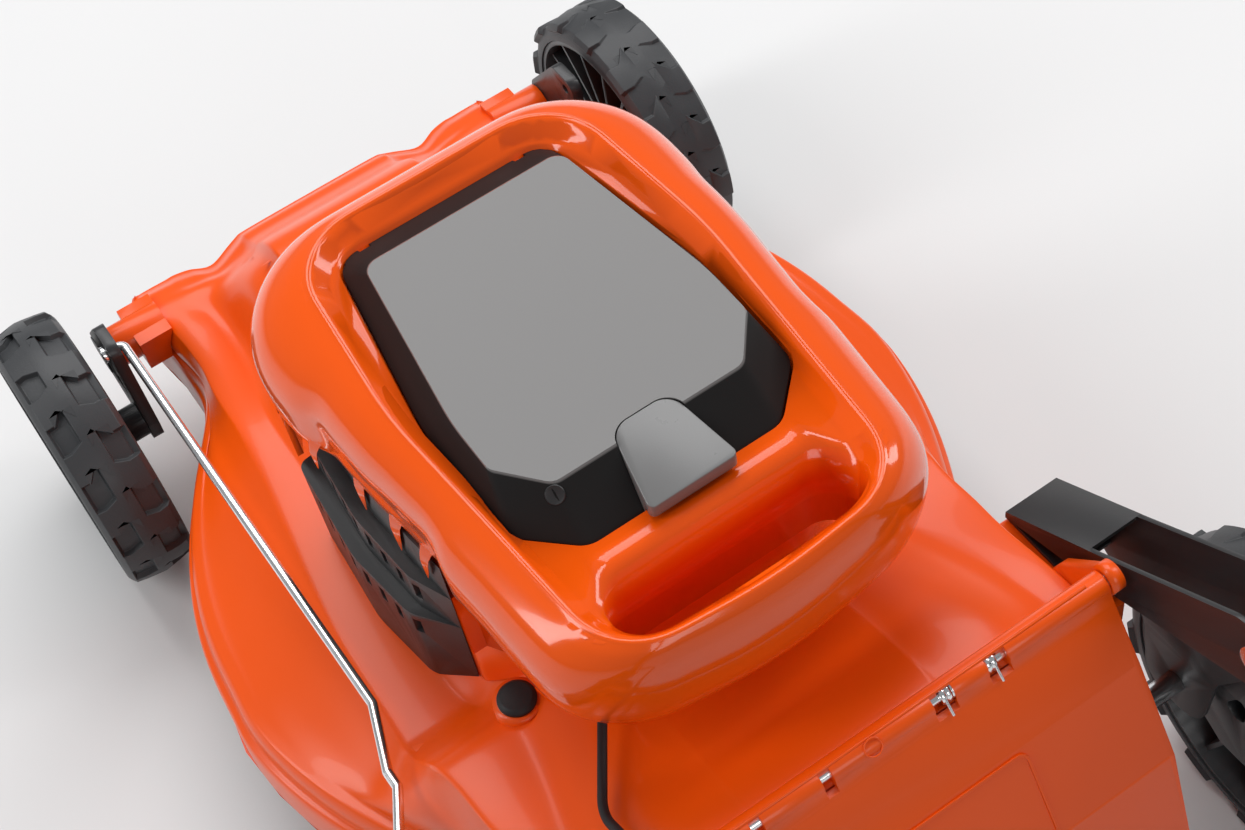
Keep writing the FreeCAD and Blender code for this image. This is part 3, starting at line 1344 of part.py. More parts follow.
def button_spot():
    """Where the start button meets the control box's face, before the handle is leant."""
    top = flat_point(button_x, lower_length + upper_length)
    return top + Vec(0, control_length - 24, 15)


def start_button():
    spot = button_spot()
    button = Part.makeCylinder(button_r, 7, spot + Vec(0, 0, -3), Z_AXIS)
    button = softened(button, 1.2, spot.z + 4)
    return leant(button)


def bail_pivot():
    """Distance of the bail's pivots from the handle's lower pivot."""
    return lower_length + upper_length - bail_reach


def bail_bar():
    """Presence bail: a wire bow hinged on the handle's legs, held off the grip until squeezed."""
    pivot = flat_point(0, bail_pivot())
    end = upper_tube_x - tube_r - 1.5
    inner = bail_inner_x
    points = [pivot + Vec(end, 0, 0), pivot + Vec(inner, 0, 0), pivot + Vec(inner, -bail_reach, 0),
              pivot + Vec(-inner, -bail_reach, 0), pivot + Vec(-inner, 0, 0), pivot + Vec(-end, 0, 0)]
    bow = bent_rod(points, bail_bend_r, bail_r)
    bow.rotate(pivot, X_AXIS, -bail_open_deg)
    return leant(bow)


def bail_bushes():
    """Plastic bushes on the handle's legs that carry the bail."""
    distance = bail_pivot()
    pivot = flat_point(0, distance)
    inner, outer = bail_inner_x + bail_bend_r + 0.5, upper_tube_x + tube_r + 3
    bushes = []
    for side in (-1, 1):
        clamp = side_plate([(pivot.y - 10, pivot.z - 14, 4), (pivot.y + 10, pivot.z - 14, 4),
                            (pivot.y + 10, pivot.z + 14, 4), (pivot.y - 10, pivot.z + 14, 4)], inner, outer)
        clamp = clamp.cut(Part.makeCylinder(tube_r + 0.05, 40, flat_point(upper_tube_x, distance - 20), Vec(0, -1, 0)))
        clamp = clamp.cut(Part.makeCylinder(bail_r + running_clearance, 20, pivot + Vec(inner - 1, 0, 0), X_AXIS))
        bushes.append(for_side(leant(clamp), side))
    return Part.makeCompound(bushes)


# ---------------------------------------------------------------- cable
def cable_start():
    """The cable's first two points, under the cover and on the deck behind it."""
    return Vec(-66, fore(394), 224), Vec(-104, fore(452), 228)


def cable_passage():
    """Hole the cable leaves the deck and the cover through."""
    start, end = cable_start()
    return Part.makeCylinder(cable_r + 0.6, start.distanceToPoint(end), start, end - start)


def deck_cable():
    """Control cable from under the cover to the handle's fold axis."""
    start, first = cable_start()
    turn = flat_point(-cable_turn_x + cable_bend_r + 1, 0)
    rise = Vec(turn.x, fore(flap_hinge_y + 4), flap_hinge_z + 16)
    return bent_rod([start, first, rise, turn, flat_point(-cable_turn_x, 0)], cable_bend_r, cable_r)


def lower_cable():
    """Stretch along the left lower tube, from one fold axis to the other."""
    start, end = -cable_turn_x - 0.3, -cable_turn_x - 0.3
    points = [flat_point(start, 0), flat_point(-cable_side_x, 0), flat_point(-cable_side_x, lower_length),
              flat_point(end, lower_length)]
    return leant(bent_rod(points, cable_bend_r - 1, cable_r))


def upper_cable():
    """Stretch from the upper fold axis, along the left leg and into the control box."""
    high = lower_length + upper_length
    crossing = flat_point(-cable_turn_x + cable_bend_r + 1, lower_length)
    leg_x = -upper_tube_x + tube_r + clip_wall + cable_r + 1
    points = [flat_point(-cable_turn_x + 0.3, lower_length), crossing, crossing + Vec(0, -60, 0),
              flat_point(leg_x, lower_length + 150), flat_point(leg_x, lower_length + 250),
              flat_point(-cable_box_x, high - control_length - 56), flat_point(-cable_box_x, high - control_length + 6)]
    return leant(bent_rod(points, cable_bend_r, cable_r))


def cable_clip(tube_x, cable_x, distance):
    """Plastic clip that holds the cable beside a tube."""
    tube_at, cable_at = flat_point(-tube_x, distance), flat_point(-cable_x, distance)
    back = Vec(0, -1, 0)
    body = Part.makeCylinder(tube_r + clip_wall, 12, tube_at, back)
    loop = Part.makeCylinder(cable_r + clip_wall, 12, cable_at, back)
    web = box((tube_at.x, cable_at.x), (tube_at.y, tube_at.y - 12), (tube_at.z - 1.5, tube_at.z + 1.5))
    clip = fused([body, loop, web])
    clip = clip.cut(Part.makeCylinder(tube_r + seat_clearance, 14, tube_at + Vec(0, 1, 0), back))
    return leant(clip.cut(Part.makeCylinder(cable_r + seat_clearance, 14, cable_at + Vec(0, 1, 0), back)))


def lower_clips():
    return [cable_clip(lower_tube_x, cable_side_x, d) for d in (110, lower_length - 110)]


def upper_clip():
    leg_x = upper_tube_x - tube_r - clip_wall - cable_r - 1
    return cable_clip(upper_tube_x, leg_x, lower_length + 190)


def rubber_plug():
    """Round plug in the deck beside the cover."""
    head = turned([(0, plug_z + 0.2, 0), (plug_r, plug_z + 0.2, 0), (plug_r, plug_z + 2, 0),
                   (plug_r - 2, plug_z + 4, 0), (0, plug_z + 4, 0)], Vec(-plug_x, fore(plug_s), 0), Z_AXIS)
    stem = rod_along_z(plug_z - 9, plug_z + 1, -plug_x, fore(plug_s), plug_r - 3 - seat_clearance)
    return fused([head, stem])


# ---------------------------------------------------------------- vents
def vent_outline(inset):
    """Plan of the black vent insert on the right flank."""
    wall = plinth_half_width + 0.3
    near, far = vent_span()
    return [(wall, near - 0.4, 0), (119 - inset, near - 2 - inset * 0.4, 6), (124 - inset, near - 70, 60),
            (118 - inset * 0.8, far + 26, 20), (wall, far + 2, 0)]


def vent_insert():
    """Black insert under the cover's teeth, stepped inwards twice and slotted for air."""
    near, far = vent_span()
    levels = (shoulder_z - 4,) + vent_levels + (cover_under_z - 0.4,)
    steps = [level_plate(vent_outline(vent_step * i), levels[i] - 1, levels[i + 1]) for i in range(len(levels) - 1)]
    steps[-1] = steps[-1].common(level_plate(bezel_outline(0, cover_tuck + 4), 0, cover_top_z))
    insert = fused(steps).cut(deck_skin(-0.3, nose_reach, -deck_tail))
    slots = []
    count = 8
    pitch = (near - far - 34) / count
    for i in range(count):
        y = near - 17 - pitch * (i + 0.5)
        for low in levels[1:-1]:
            slots.append(box((plinth_half_width + 2, cover_half_width + 5), (y - 2.2, y + 2.2), (low - 18, low - 6)))
    return insert.cut(Part.makeCompound(slots))


def vent_inserts():
    right = vent_insert()
    return Part.makeCompound([right, mirrored(right)])


# ---------------------------------------------------------------- assembly
def wheel_nodes(end):
    """Tyre, rim and cap of the wheels on one axle."""
    nodes = {}
    for side_name, side in SIDES:
        name = end + "_" + side_name + "_"
        nodes[name + "tyre"] = for_side(tyre(end), side)
        nodes[name + "rim"] = for_side(rim(end), side)
        nodes[name + "hub_cap"] = for_side(hub_cap(end), side)
    return nodes


def arm_nodes(end):
    """Arms with their nuts, and the bar that joins them."""
    nodes = {end + "_pivot_bar": pivot_bar(end)}
    nuts = axle_nuts(end)
    for side_name, side in SIDES:
        nut = [s for s in nuts.Solids if s.CenterOfMass.x * side > 0]
        nodes[end + "_" + side_name + "_arm"] = Part.makeCompound([for_side(arm(end), side)] + nut)
    return nodes


def whole_machine():
    """Every node by name."""
    nodes = {
        "deck_shell": deck_shell(),
        "motor_cover": motor_cover(),
        "vent_inserts": vent_inserts(),
        "front_pivot_blocks": front_pivot_blocks(),
        "battery_lid": battery_lid(),
        "lid_tab": lid_tab(),
        "lid_pin": lid_pin(),
        "battery_bay": battery_bay(),
        "battery_pack": battery_pack(),
        "battery_button": battery_button(),
        "motor_housing": motor_housing(),
        "rotor_shaft": rotor_shaft(),
        "blade_holder": blade_holder(),
        "mower_blade": mower_blade(),
        "blade_bolt": blade_bolt(),
        "height_rod": Part.makeCompound([height_rod()] + rod_caps().Solids),
        "height_lever": height_lever(),
        "lever_knob": lever_knob(),
        "height_sector": height_sector(),
        "rear_flap": rear_flap(),
        "hinge_rod": hinge_rod(),
        "flap_spring": flap_spring(),
        "upper_handle": upper_handle(),
        "mid_bolts": Part.makeCompound([mid_bolt(side) for name, side in SIDES]),
        "grips": Part.makeCompound([grip_sleeve(side) for name, side in SIDES]),
        "control_box": control_box(),
        "start_button": start_button(),
        "bail_bar": bail_bar(),
        "bail_bushes": bail_bushes(),
        "deck_cable": deck_cable(),
        "lower_cable": Part.makeCompound([lower_cable()] + lower_clips()),
        "upper_cable": Part.makeCompound([upper_cable(), upper_clip()]),
        "rubber_plug": rubber_plug(),
        "bracket_bolts": Part.makeCompound([bolt for name, side in SIDES for bolt in [pivot_bolt(side)] + foot_bolts(side)]),
    }
    for end in ("front", "rear"):
        nodes.update(wheel_nodes(end))
        nodes.update(arm_nodes(end))
    for side_name, side in SIDES:
        nodes[side_name + "_bracket"] = handle_bracket(side)
        nodes[side_name + "_lower_tube"] = lower_handle(side)
        nodes[side_name + "_star_knob"] = star_knob(side)
        nodes[side_name + "_clamp_lever"] = cam_lever(side)
    return nodes


def main():
    for name, shape in sorted(whole_machine().items()):
        save(name, shape)


main()
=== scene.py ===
"""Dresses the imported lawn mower: camera, studio, finishes and the modelled pieces."""
import json
import math

import bmesh
import bpy
from mathutils import Euler, Matrix, Vector
from mathutils.bvhtree import BVHTree


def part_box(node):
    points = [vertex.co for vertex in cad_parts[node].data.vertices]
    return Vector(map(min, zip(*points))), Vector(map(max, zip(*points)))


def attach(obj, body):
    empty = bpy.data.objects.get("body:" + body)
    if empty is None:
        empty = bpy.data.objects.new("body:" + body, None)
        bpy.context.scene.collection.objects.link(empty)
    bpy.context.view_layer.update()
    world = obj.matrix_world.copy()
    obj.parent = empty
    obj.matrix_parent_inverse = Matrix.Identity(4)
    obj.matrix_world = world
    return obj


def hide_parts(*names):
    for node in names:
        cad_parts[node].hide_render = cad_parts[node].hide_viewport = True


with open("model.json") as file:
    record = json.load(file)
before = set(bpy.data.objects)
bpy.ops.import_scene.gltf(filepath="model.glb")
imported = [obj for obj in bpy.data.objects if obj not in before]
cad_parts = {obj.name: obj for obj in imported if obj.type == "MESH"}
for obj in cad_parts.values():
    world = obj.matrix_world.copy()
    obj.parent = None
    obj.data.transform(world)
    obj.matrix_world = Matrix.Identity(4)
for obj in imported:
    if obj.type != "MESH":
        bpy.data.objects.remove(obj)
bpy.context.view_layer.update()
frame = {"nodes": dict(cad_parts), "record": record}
nodes = frame["nodes"]


# ---------------------------------------------------------------- shader nodes
def feed(tree, socket, value):
    """Links another socket to this one, or sets it to a plain value."""
    if isinstance(value, bpy.types.NodeSocket):
        tree.links.new(value, socket)
    else:
        socket.default_value = value


def noise(tree, vector, scale, detail=3.0, rough=0.5):
    node = tree.nodes.new("ShaderNodeTexNoise")
    for label, value in (("Vector", vector), ("Scale", scale), ("Detail", detail), ("Roughness", rough)):
        feed(tree, node.inputs[label], value)
    return node.outputs["Fac"]


def math_node(tree, operation, a, b, clamp=False):
    node = tree.nodes.new("ShaderNodeMath")
    node.operation = operation
    node.use_clamp = clamp
    for socket, value in zip(node.inputs, (a, b)):
        feed(tree, socket, value)
    return node.outputs[0]


def mix_colour(tree, factor, a, b):
    node = tree.nodes.new("ShaderNodeMix")
    node.data_type = "RGBA"
    for socket, value in zip((node.inputs["Factor"], node.inputs[6], node.inputs[7]), (factor, a, b)):
        feed(tree, socket, value)
    return node.outputs[2]


def map_range(tree, value, low, high, out_low, out_high):
    node = tree.nodes.new("ShaderNodeMapRange")
    for socket, number in zip(node.inputs, (value, low, high, out_low, out_high)):
        feed(tree, socket, number)
    return node.outputs[0]


def bump(tree, shader, height, strength, distance):
    node = tree.nodes.new("ShaderNodeBump")
    for label, value in (("Strength", strength), ("Distance", distance), ("Height", height)):
        feed(tree, node.inputs[label], value)
    tree.links.new(node.outputs["Normal"], shader.inputs["Normal"])


# ---------------------------------------------------------------- shared shader groups
def new_group(name, inputs):
    """A shader group that takes a vector and these inputs, and gives a colour, a roughness and a height."""
    group = bpy.data.node_groups.new(name, "ShaderNodeTree")
    group.interface.new_socket(name="Vector", in_out="INPUT", socket_type="NodeSocketVector")
    for label, default in inputs:
        kind = "NodeSocketColor" if isinstance(default, tuple) else "NodeSocketFloat"
        group.interface.new_socket(name=label, in_out="INPUT", socket_type=kind).default_value = default
    for label, kind in (("Colour", "NodeSocketColor"), ("Roughness", "NodeSocketFloat"),
                        ("Height", "NodeSocketFloat")):
        group.interface.new_socket(name=label, in_out="OUTPUT", socket_type=kind)
    return group, group.nodes.new("NodeGroupInput").outputs, group.nodes.new("NodeGroupOutput").inputs


def make_moulded_group():
    """Moulded plastic: slow drift in its shade and its gloss, and fine spark grain as its height."""
    group, source, sink = new_group("moulded_plastic", [
        ("Colour", (0.5, 0.5, 0.5, 1)), ("Drift", 0.06), ("Grain Scale", 900.0), ("Roughness", 0.4),
        ("Roughness Drift", 0.08)])

    def wander(scale, detail, rough, amount):
        centred = math_node(group, "SUBTRACT", noise(group, source["Vector"], scale, detail, rough), 0.5)
        return math_node(group, "MULTIPLY", centred, amount)

    bright = group.nodes.new("ShaderNodeVectorMath")
    bright.operation = "SCALE"
    feed(group, bright.inputs[0], source["Colour"])
    feed(group, bright.inputs["Scale"], math_node(group, "ADD", wander(9.0, 3.0, 0.5, source["Drift"]), 1.0))
    smudge = wander(38.0, 5.0, 0.6, source["Roughness Drift"])
    feed(group, sink["Colour"], bright.outputs[0])
    feed(group, sink["Roughness"], math_node(group, "ADD", smudge, source["Roughness"]))
    feed(group, sink["Height"], noise(group, source["Vector"], source["Grain Scale"], 2.0))
    return group


def make_metal_group():
    """Plated or turned metal: cloudy dulling of its colour and gloss, and a fine grain as its height."""
    group, source, sink = new_group("plated_metal", [
        ("Colour", (0.7, 0.7, 0.72, 1)), ("Dull Colour", (0.5, 0.5, 0.5, 1)), ("Dulling", 0.5),
        ("Roughness", 0.25)])
    cloud = map_range(group, noise(group, source["Vector"], 60.0, 5.0, 0.65), 0.42, 0.68, 0.0, 1.0)
    factor = math_node(group, "MULTIPLY", cloud, source["Dulling"], clamp=True)
    extra = math_node(group, "MULTIPLY", factor, 0.22)
    feed(group, sink["Colour"], mix_colour(group, factor, source["Colour"], source["Dull Colour"]))
    feed(group, sink["Roughness"], math_node(group, "ADD", extra, source["Roughness"]))
    feed(group, sink["Height"], noise(group, source["Vector"], 700.0))
    return group


MOULDED = make_moulded_group()
PLATED = make_metal_group()


# ---------------------------------------------------------------- finishes
def blank_material(name):
    material = bpy.data.materials.new(name)
    material.use_nodes = True
    return material, material.node_tree, material.node_tree.nodes["Principled BSDF"]


def grouped(name, group, **values):
    """A material that takes its colour and roughness from a shared group, laid in the piece's own space."""
    material, tree, shader = blank_material(name)
    node = tree.nodes.new("ShaderNodeGroup")
    node.node_tree = group
    feed(tree, node.inputs["Vector"], tree.nodes.new("ShaderNodeTexCoord").outputs["Object"])
    for label, value in values.items():
        node.inputs[label.replace("_", " ")].default_value = value
    feed(tree, shader.inputs["Base Color"], node.outputs["Colour"])
    feed(tree, shader.inputs["Roughness"], node.outputs["Roughness"])
    return material, tree, shader, node


GRAIN_HEIGHT, PLATE_HEIGHT = 0.0002, 0.0001     # of the bumps on plastics and metals
COAT_ROUGH = 0.04


def plastic(name, colour, rough, drift, grain, depth, coat=0.0, specular=0.5, rough_drift=0.08):
    """Moulded plastic of one colour."""
    material, tree, shader, node = grouped(name, MOULDED, Colour=colour + (1,), Drift=drift,
                                           Grain_Scale=grain, Roughness=rough, Roughness_Drift=rough_drift)
    shader.inputs["Specular IOR Level"].default_value = specular
    shader.inputs["Coat Weight"].default_value = coat
    shader.inputs["Coat Roughness"].default_value = COAT_ROUGH
    bump(tree, shader, node.outputs["Height"], depth, GRAIN_HEIGHT)
    return material


def metal(name, colour, dull, rough, dulling=0.5):
    """Bare or plated metal with duller clouds."""
    material, tree, shader, node = grouped(name, PLATED, Colour=colour + (1,), Dull_Colour=dull + (1,),
                                           Dulling=dulling, Roughness=rough)
    shader.inputs["Metallic"].default_value = 1.0
    bump(tree, shader, node.outputs["Height"], 0.1, PLATE_HEIGHT)
    return material


PLATEAU_EDGE = (0.3404, 0.3410)     # heights between which the lid's border gives way to its plateau
# the border's near-black is the smoked plastic's own colour; the plateau's lighter grey is painted reflection
# of the softbox above the lid
BORDER_TONE, PLATEAU_REFLECTION_TONE = (0.014, 0.0135, 0.0135, 1), (0.150, 0.145, 0.143, 1)
BORDER_ROUGH, PLATEAU_ROUGH = 0.58, 0.11
PLATEAU_COAT = 0.5


def smoked_lid():
    """Near-black matt sloped border, and a glossier plateau painted lighter grey as the reflection of the
    softbox above it, which stops at its crisp edge.
    """
    material, tree, shader, node = grouped("smoked_lid", MOULDED, Drift=0.05, Grain_Scale=1200.0,
                                           Roughness_Drift=0.03)
    apart = tree.nodes.new("ShaderNodeSeparateXYZ")
    feed(tree, apart.inputs[0], node.inputs["Vector"].links[0].from_socket)
    # mask of the plateau, where the painted reflection goes
    level = map_range(tree, apart.outputs["Z"], *PLATEAU_EDGE, 0.0, 1.0)
    # smoked near-black on the border, painted reflection grey on the plateau
    feed(tree, node.inputs["Colour"], mix_colour(tree, level, BORDER_TONE, PLATEAU_REFLECTION_TONE))
    feed(tree, node.inputs["Roughness"], map_range(tree, level, 0.0, 1.0, BORDER_ROUGH, PLATEAU_ROUGH))
    feed(tree, shader.inputs["Coat Weight"], map_range(tree, level, 0.0, 1.0, 0.0, PLATEAU_COAT))
    shader.inputs["Specular IOR Level"].default_value = 0.10
    shader.inputs["Coat Roughness"].default_value = 0.05
    return material


FINISH = {
    "gloss_shell": plastic("polished_orange", (0.84, 0.092, 0.002), 0.14, 0.03, 1200.0, 0.02, coat=0.45,
                           specular=0.25, rough_drift=0.02),
    "satin_shell": plastic("satin_orange", (0.84, 0.088, 0.002), 0.31, 0.05, 1500.0, 0.10, coat=0.10,
                           specular=0.34),
    "black_plastic": plastic("grained_black", (0.018, 0.018, 0.019), 0.42, 0.3, 1100.0, 0.35),
    "grey_plastic": plastic("satin_grey", (0.165, 0.163, 0.162), 0.28, 0.1, 1300.0, 0.1),
    "smoked_plastic": smoked_lid(),
    "zinc_steel": metal("bright_zinc", (0.93, 0.94, 0.95), (0.70, 0.71, 0.73), 0.20, 0.35),
    "bare_steel": metal("turned_steel", (0.62, 0.62, 0.61), (0.42, 0.42, 0.41), 0.28),
    "cast_alloy": metal("cast_alloy", (0.60, 0.61, 0.62), (0.45, 0.45, 0.46), 0.45),
    "dark_steel": plastic("black_powder_coat", (0.022, 0.022, 0.024), 0.36, 0.2, 1600.0, 0.4),
    "dark_tube": plastic("grey_powder_coat", (0.035, 0.035, 0.037), 0.34, 0.15, 1500.0, 0.35),
    "soft_rubber": plastic("soft_rubber", (0.014, 0.014, 0.015), 0.55, 0.3, 700.0, 0.4, specular=0.35),
    "tread_rubber": plastic("tread_plastic", (0.038, 0.040, 0.043), 0.46, 0.25, 800.0, 0.45, specular=0.4),
    "wheel_plastic": plastic("wheel_plastic", (0.045, 0.047, 0.050), 0.38, 0.2, 1000.0, 0.25),
}

slot_of = {row["node"]: row["material_slot"] for row in frame["record"]["subparts"]}
for name, node in nodes.items():
    node.data.materials.clear()
    node.data.materials.append(FINISH[slot_of[name]])


# ---------------------------------------------------------------- modelling helpers
def finished(mesh, name, finish, body, replaced=(), bevel=0.0, segments=2, limit=35.0, levels=0,
             thickness=0.0, fresh=True):
    """Turns a bmesh into a smooth-shaded piece that rides on a body and stands for its plain solids."""
    if fresh:
        bmesh.ops.recalc_face_normals(mesh, faces=mesh.faces)
    data = bpy.data.meshes.new(name)
    mesh.to_mesh(data)
    mesh.free()
    data.materials.append(FINISH[finish])
    made = bpy.data.objects.new(name, data)
    shade_smooth(made)
    bpy.context.scene.collection.objects.link(made)
    if thickness:
        wall = made.modifiers.new("wall", "SOLIDIFY")
        wall.thickness = thickness
        wall.offset = -1.0
    if levels:
        smooth = made.modifiers.new("surface", "SUBSURF")
        smooth.levels = levels
        smooth.render_levels = levels
    if bevel:
        round_edges(made, bevel, segments, limit)
    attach(made, body)
    if replaced:
        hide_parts(*replaced)
    return made


def shade_smooth(made):
    for face in made.data.polygons:
        face.use_smooth = True


def round_edges(made, width, segments=2, limit=35.0):
    """Small rounds on a piece's sharp edges, with flat faces kept flat in shade."""
    edges = made.modifiers.new("edges", "BEVEL")
    edges.width = width
    edges.segments = segments
    edges.limit_method = "ANGLE"
    edges.angle_limit = math.radians(limit)
    edges.harden_normals = True


def weld(solid):
    """Joins the loose triangles of a CAD solid, for smooth shading across them."""
    shade_smooth(solid)
    joined = solid.modifiers.new("weld", "WELD")
    joined.merge_threshold = 1e-6


def soften_solid(solid, width):
    """Gives the sharp edges of a CAD solid a small round."""
    weld(solid)
    flats = solid.modifiers.new("flats", "DECIMATE")
    flats.decimate_type = "DISSOLVE"
    flats.angle_limit = math.radians(0.4)
    round_edges(solid, width)


def crisp_solid(solid):
    """Shades the curved faces of a CAD solid smoothly between edges that stay crisp."""
    weld(solid)
    split = solid.modifiers.new("crisp", "EDGE_SPLIT")
    split.split_angle = math.radians(20.0)


def slice_at(mesh, place, way):
    """Cuts the faces of a mesh along a plane and keeps both sides."""
    bmesh.ops.bisect_plane(mesh, geom=mesh.verts[:] + mesh.edges[:] + mesh.faces[:], dist=1e-7,
                           plane_co=place, plane_no=way)


def turn(mesh, angle, axis):
    """Turns a mesh about an axis through the origin."""
    bmesh.ops.rotate(mesh, verts=mesh.verts, cent=(0, 0, 0), matrix=Matrix.Rotation(angle, 3, axis))


def laid_grid(rows):
    """A grid of faces through rows of points, with the column and the row of each of its vertices."""
    columns, last = len(rows[0]) - 1, len(rows) - 1
    mesh = bmesh.new()
    bmesh.ops.create_grid(mesh, x_segments=columns, y_segments=last, size=1.0)
    place = {v: (round((v.co.x + 1) / 2 * columns), round((v.co.y + 1) / 2 * last)) for v in mesh.verts}
    for vert, (i, j) in place.items():
        vert.co = rows[j][i]
    return mesh, place


# ---------------------------------------------------------------- wheels
TREAD_PITCHES = 14              # pockets round each shoulder
TREAD_FACES = 8                 # faces round each pitch
TREAD_DEEP = 0.006              # how far below the plain tyre's radius the tread's faces still lie
TREAD_ROOM = 0.0002             # how far the crown stays inside that radius
POCKET_RIM, POCKET_DEPTH = 0.0011, 0.0034
POCKET_PINCH = 0.35             # how much shorter a pocket is at its pinched edge, as a share of its length
TREAD_BEVEL, TREAD_ANGLE = 0.00045, 24.0
# half of the tyre's section in mm: across from the inner face, and out from the plain tyre's radius
TYRE_HALF = [(0.0, -12.4), (0.0, -8.5), (0.9, -6.4), (3.2, -3.0), (9.0, -1.9), (17.0, -0.7), (21.75, 0.0)]
# rows of pockets in mm across from the inner face: from, to, its pinched edge, and its shift in pitches
POCKET_ROWS = [(2.0, 17.5, 17.0, 0.0), (26.0, 40.5, 26.5, 0.5)]


def tread_tyre(end, side):
    """Hard tyre with a ridged crown and staggered pockets pressed into both shoulders."""
    name = end + "_" + side + "_tyre"
    low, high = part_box(name)
    radius = (high.z - low.z) / 2
    centre = Vector((0, (low.y + high.y) / 2, (low.z + high.z) / 2))
    width = high.x - low.x
    outward = 1 if side == "right" else -1
    inner_x = low.x if side == "right" else high.x
    profile = TYRE_HALF + [(width * 1000 - a, r) for a, r in reversed(TYRE_HALF[:-1])]
    mesh = bmesh.new()
    ring = [mesh.verts.new((inner_x + outward * a / 1000, centre.y, centre.z + radius + r / 1000))
            for a, r in profile]
    edges = [mesh.edges.new(pair) for pair in zip(ring, ring[1:])]
    bmesh.ops.spin(mesh, geom=ring + edges, cent=centre, axis=(1, 0, 0), dvec=(0, 0, 0), angle=math.tau,
                   steps=TREAD_PITCHES * TREAD_FACES, use_merge=True)
    inner_loops = [[e for e in mesh.edges if e.is_boundary and abs(abs(e.verts[0].co.x - inner_x) - x) < 1e-5]
                   for x in (0.0, width)]
    bmesh.ops.bridge_loops(mesh, edges=inner_loops[0] + inner_loops[1])
    pitch = math.tau / TREAD_PITCHES

    def across(point):
        return abs(point.x - inner_x) * 1000

    def phase(point, shift):
        angle = math.atan2(point.z - centre.z, point.y - centre.y)
        return ((angle / pitch) % 1.0 + shift) % 1.0

    for near, far, pinched, shift in POCKET_ROWS:
        pockets = [f for f in mesh.faces
                   if near < across(f.calc_center_median()) < far
                   and (f.calc_center_median() - centre).length > radius - TREAD_DEEP
                   and 0.0 < phase(f.calc_center_median(), shift) < 0.5]
        for vert in {v for f in pockets for v in f.verts}:
            if abs(across(vert.co) - pinched) < 0.2:
                inward = (0.25 - phase(vert.co, shift)) * pitch * POCKET_PINCH
                bmesh.ops.rotate(mesh, verts=[vert], cent=centre, matrix=Matrix.Rotation(inward, 3, "X"))
        bmesh.ops.inset_region(mesh, faces=pockets, thickness=POCKET_RIM, depth=-POCKET_DEPTH,
                               use_even_offset=True, use_boundary=True)
    crown = radius - TREAD_ROOM
    for vert in mesh.verts:
        spoke = (vert.co - centre) * Vector((0, 1, 1))
        if spoke.length > crown:
            vert.co -= spoke.normalized() * (spoke.length - crown)
    return finished(mesh, name + "_moulded", "tread_rubber", end + "_" + side + "_wheel", [name],
                    bevel=TREAD_BEVEL, limit=TREAD_ANGLE)


for end in ("front", "rear"):
    for side in ("left", "right"):
        tread_tyre(end, side)


# ---------------------------------------------------------------- reading the solids
AXLE_Y = 578.5                  # front axle, mm ahead of the origin
NOSE, TAIL = 75.0, -493.0       # deck's ends, mm ahead of the front axle


def spot(x, s, z):
    """A place given in mm, with s counted ahead of the front axle."""
    return Vector((x, AXLE_Y + s, z)) / 1000


def station(point):
    """How far a point lies ahead of the front axle, in mm."""
    return point.y * 1000 - AXLE_Y


def eased(value, table):
    """Reads (station, value) pairs that fall from the first, easing in and out of each."""
    if value >= table[0][0]:
        return table[0][1]
    for (near, first), (far, last) in zip(table, table[1:]):
        if value >= far:
            share = (near - value) / (near - far)
            return first + (last - first) * share * share * (3 - 2 * share)
    return table[-1][1]


def merged_copy(name):
    """A solid's mesh as a closed bmesh of its own."""
    mesh = bmesh.new()
    mesh.from_mesh(nodes[name].data)
    mesh.transform(nodes[name].matrix_world)
    bmesh.ops.remove_doubles(mesh, verts=mesh.verts, dist=2e-6)
    return mesh


# ---------------------------------------------------------------- deck
BLADE_S = -222.0                # blade's axis, mm ahead of the front axle
CHAMBER_R = 212.0               # deck's outer radius round the blade
FRONT_HALF, REAR_HALF = 130.0, 150.0    # half widths ahead of the blade's axis and behind it
# stations, from nose to tail, at which the sections of the solid and of the skin are drawn
BARE_STATIONS = [NOSE, 71, 62, 46, 22, -5, -35, -62, -90, -120, -155, -190, -225, -260, -290, -315, -340,
                 -362, -385, -410, -445, TAIL]
SKIN_STATIONS = [NOSE, 74, 71, 66, 60, 53, 45, 36, 26, 15, 4, -8, -20, -32, -45, -60, -75, -90, -108, -128,
                 -150, -172, -195, -218, -240, -262, -282, -300, -312, -322, -332, -343, -355, -366, -378,
                 -392, -410, -432, -455, -476, -490, TAIL]
# creases of the skin: along it, by point of the section, and at nose and tail
SKIN_CREASES = {3: 0.7, 4: 0.85, 6: 0.85, 7: 0.8, 12: 0.6, 13: 0.35, 16: 0.3, 22: 0.6}
END_CREASE = 0.9
SKIN_WALL = 0.0012
ON_SKIN = 0.00025               # how close the solid's outer face lies to the bare sections
CORE_NOSE = 46.0                # station ahead of which the skin alone stands for the deck
VALLEY_S, VALLEY_X, VALLEY_Z = (-66, 46), (40, 100), 100.0   # where the skin dips through the solid's top


def chamber_width(s):
    """Half the deck's width: straight sides run softly into the round blade chamber."""
    ahead = s - BLADE_S
    circle = math.sqrt(max(CHAMBER_R ** 2 - ahead ** 2, 1.0))
    straight = FRONT_HALF + eased(s, [(75, 8), (20, 0)]) if ahead > 0 else REAR_HALF
    return (circle ** 5 + straight ** 5) ** 0.2


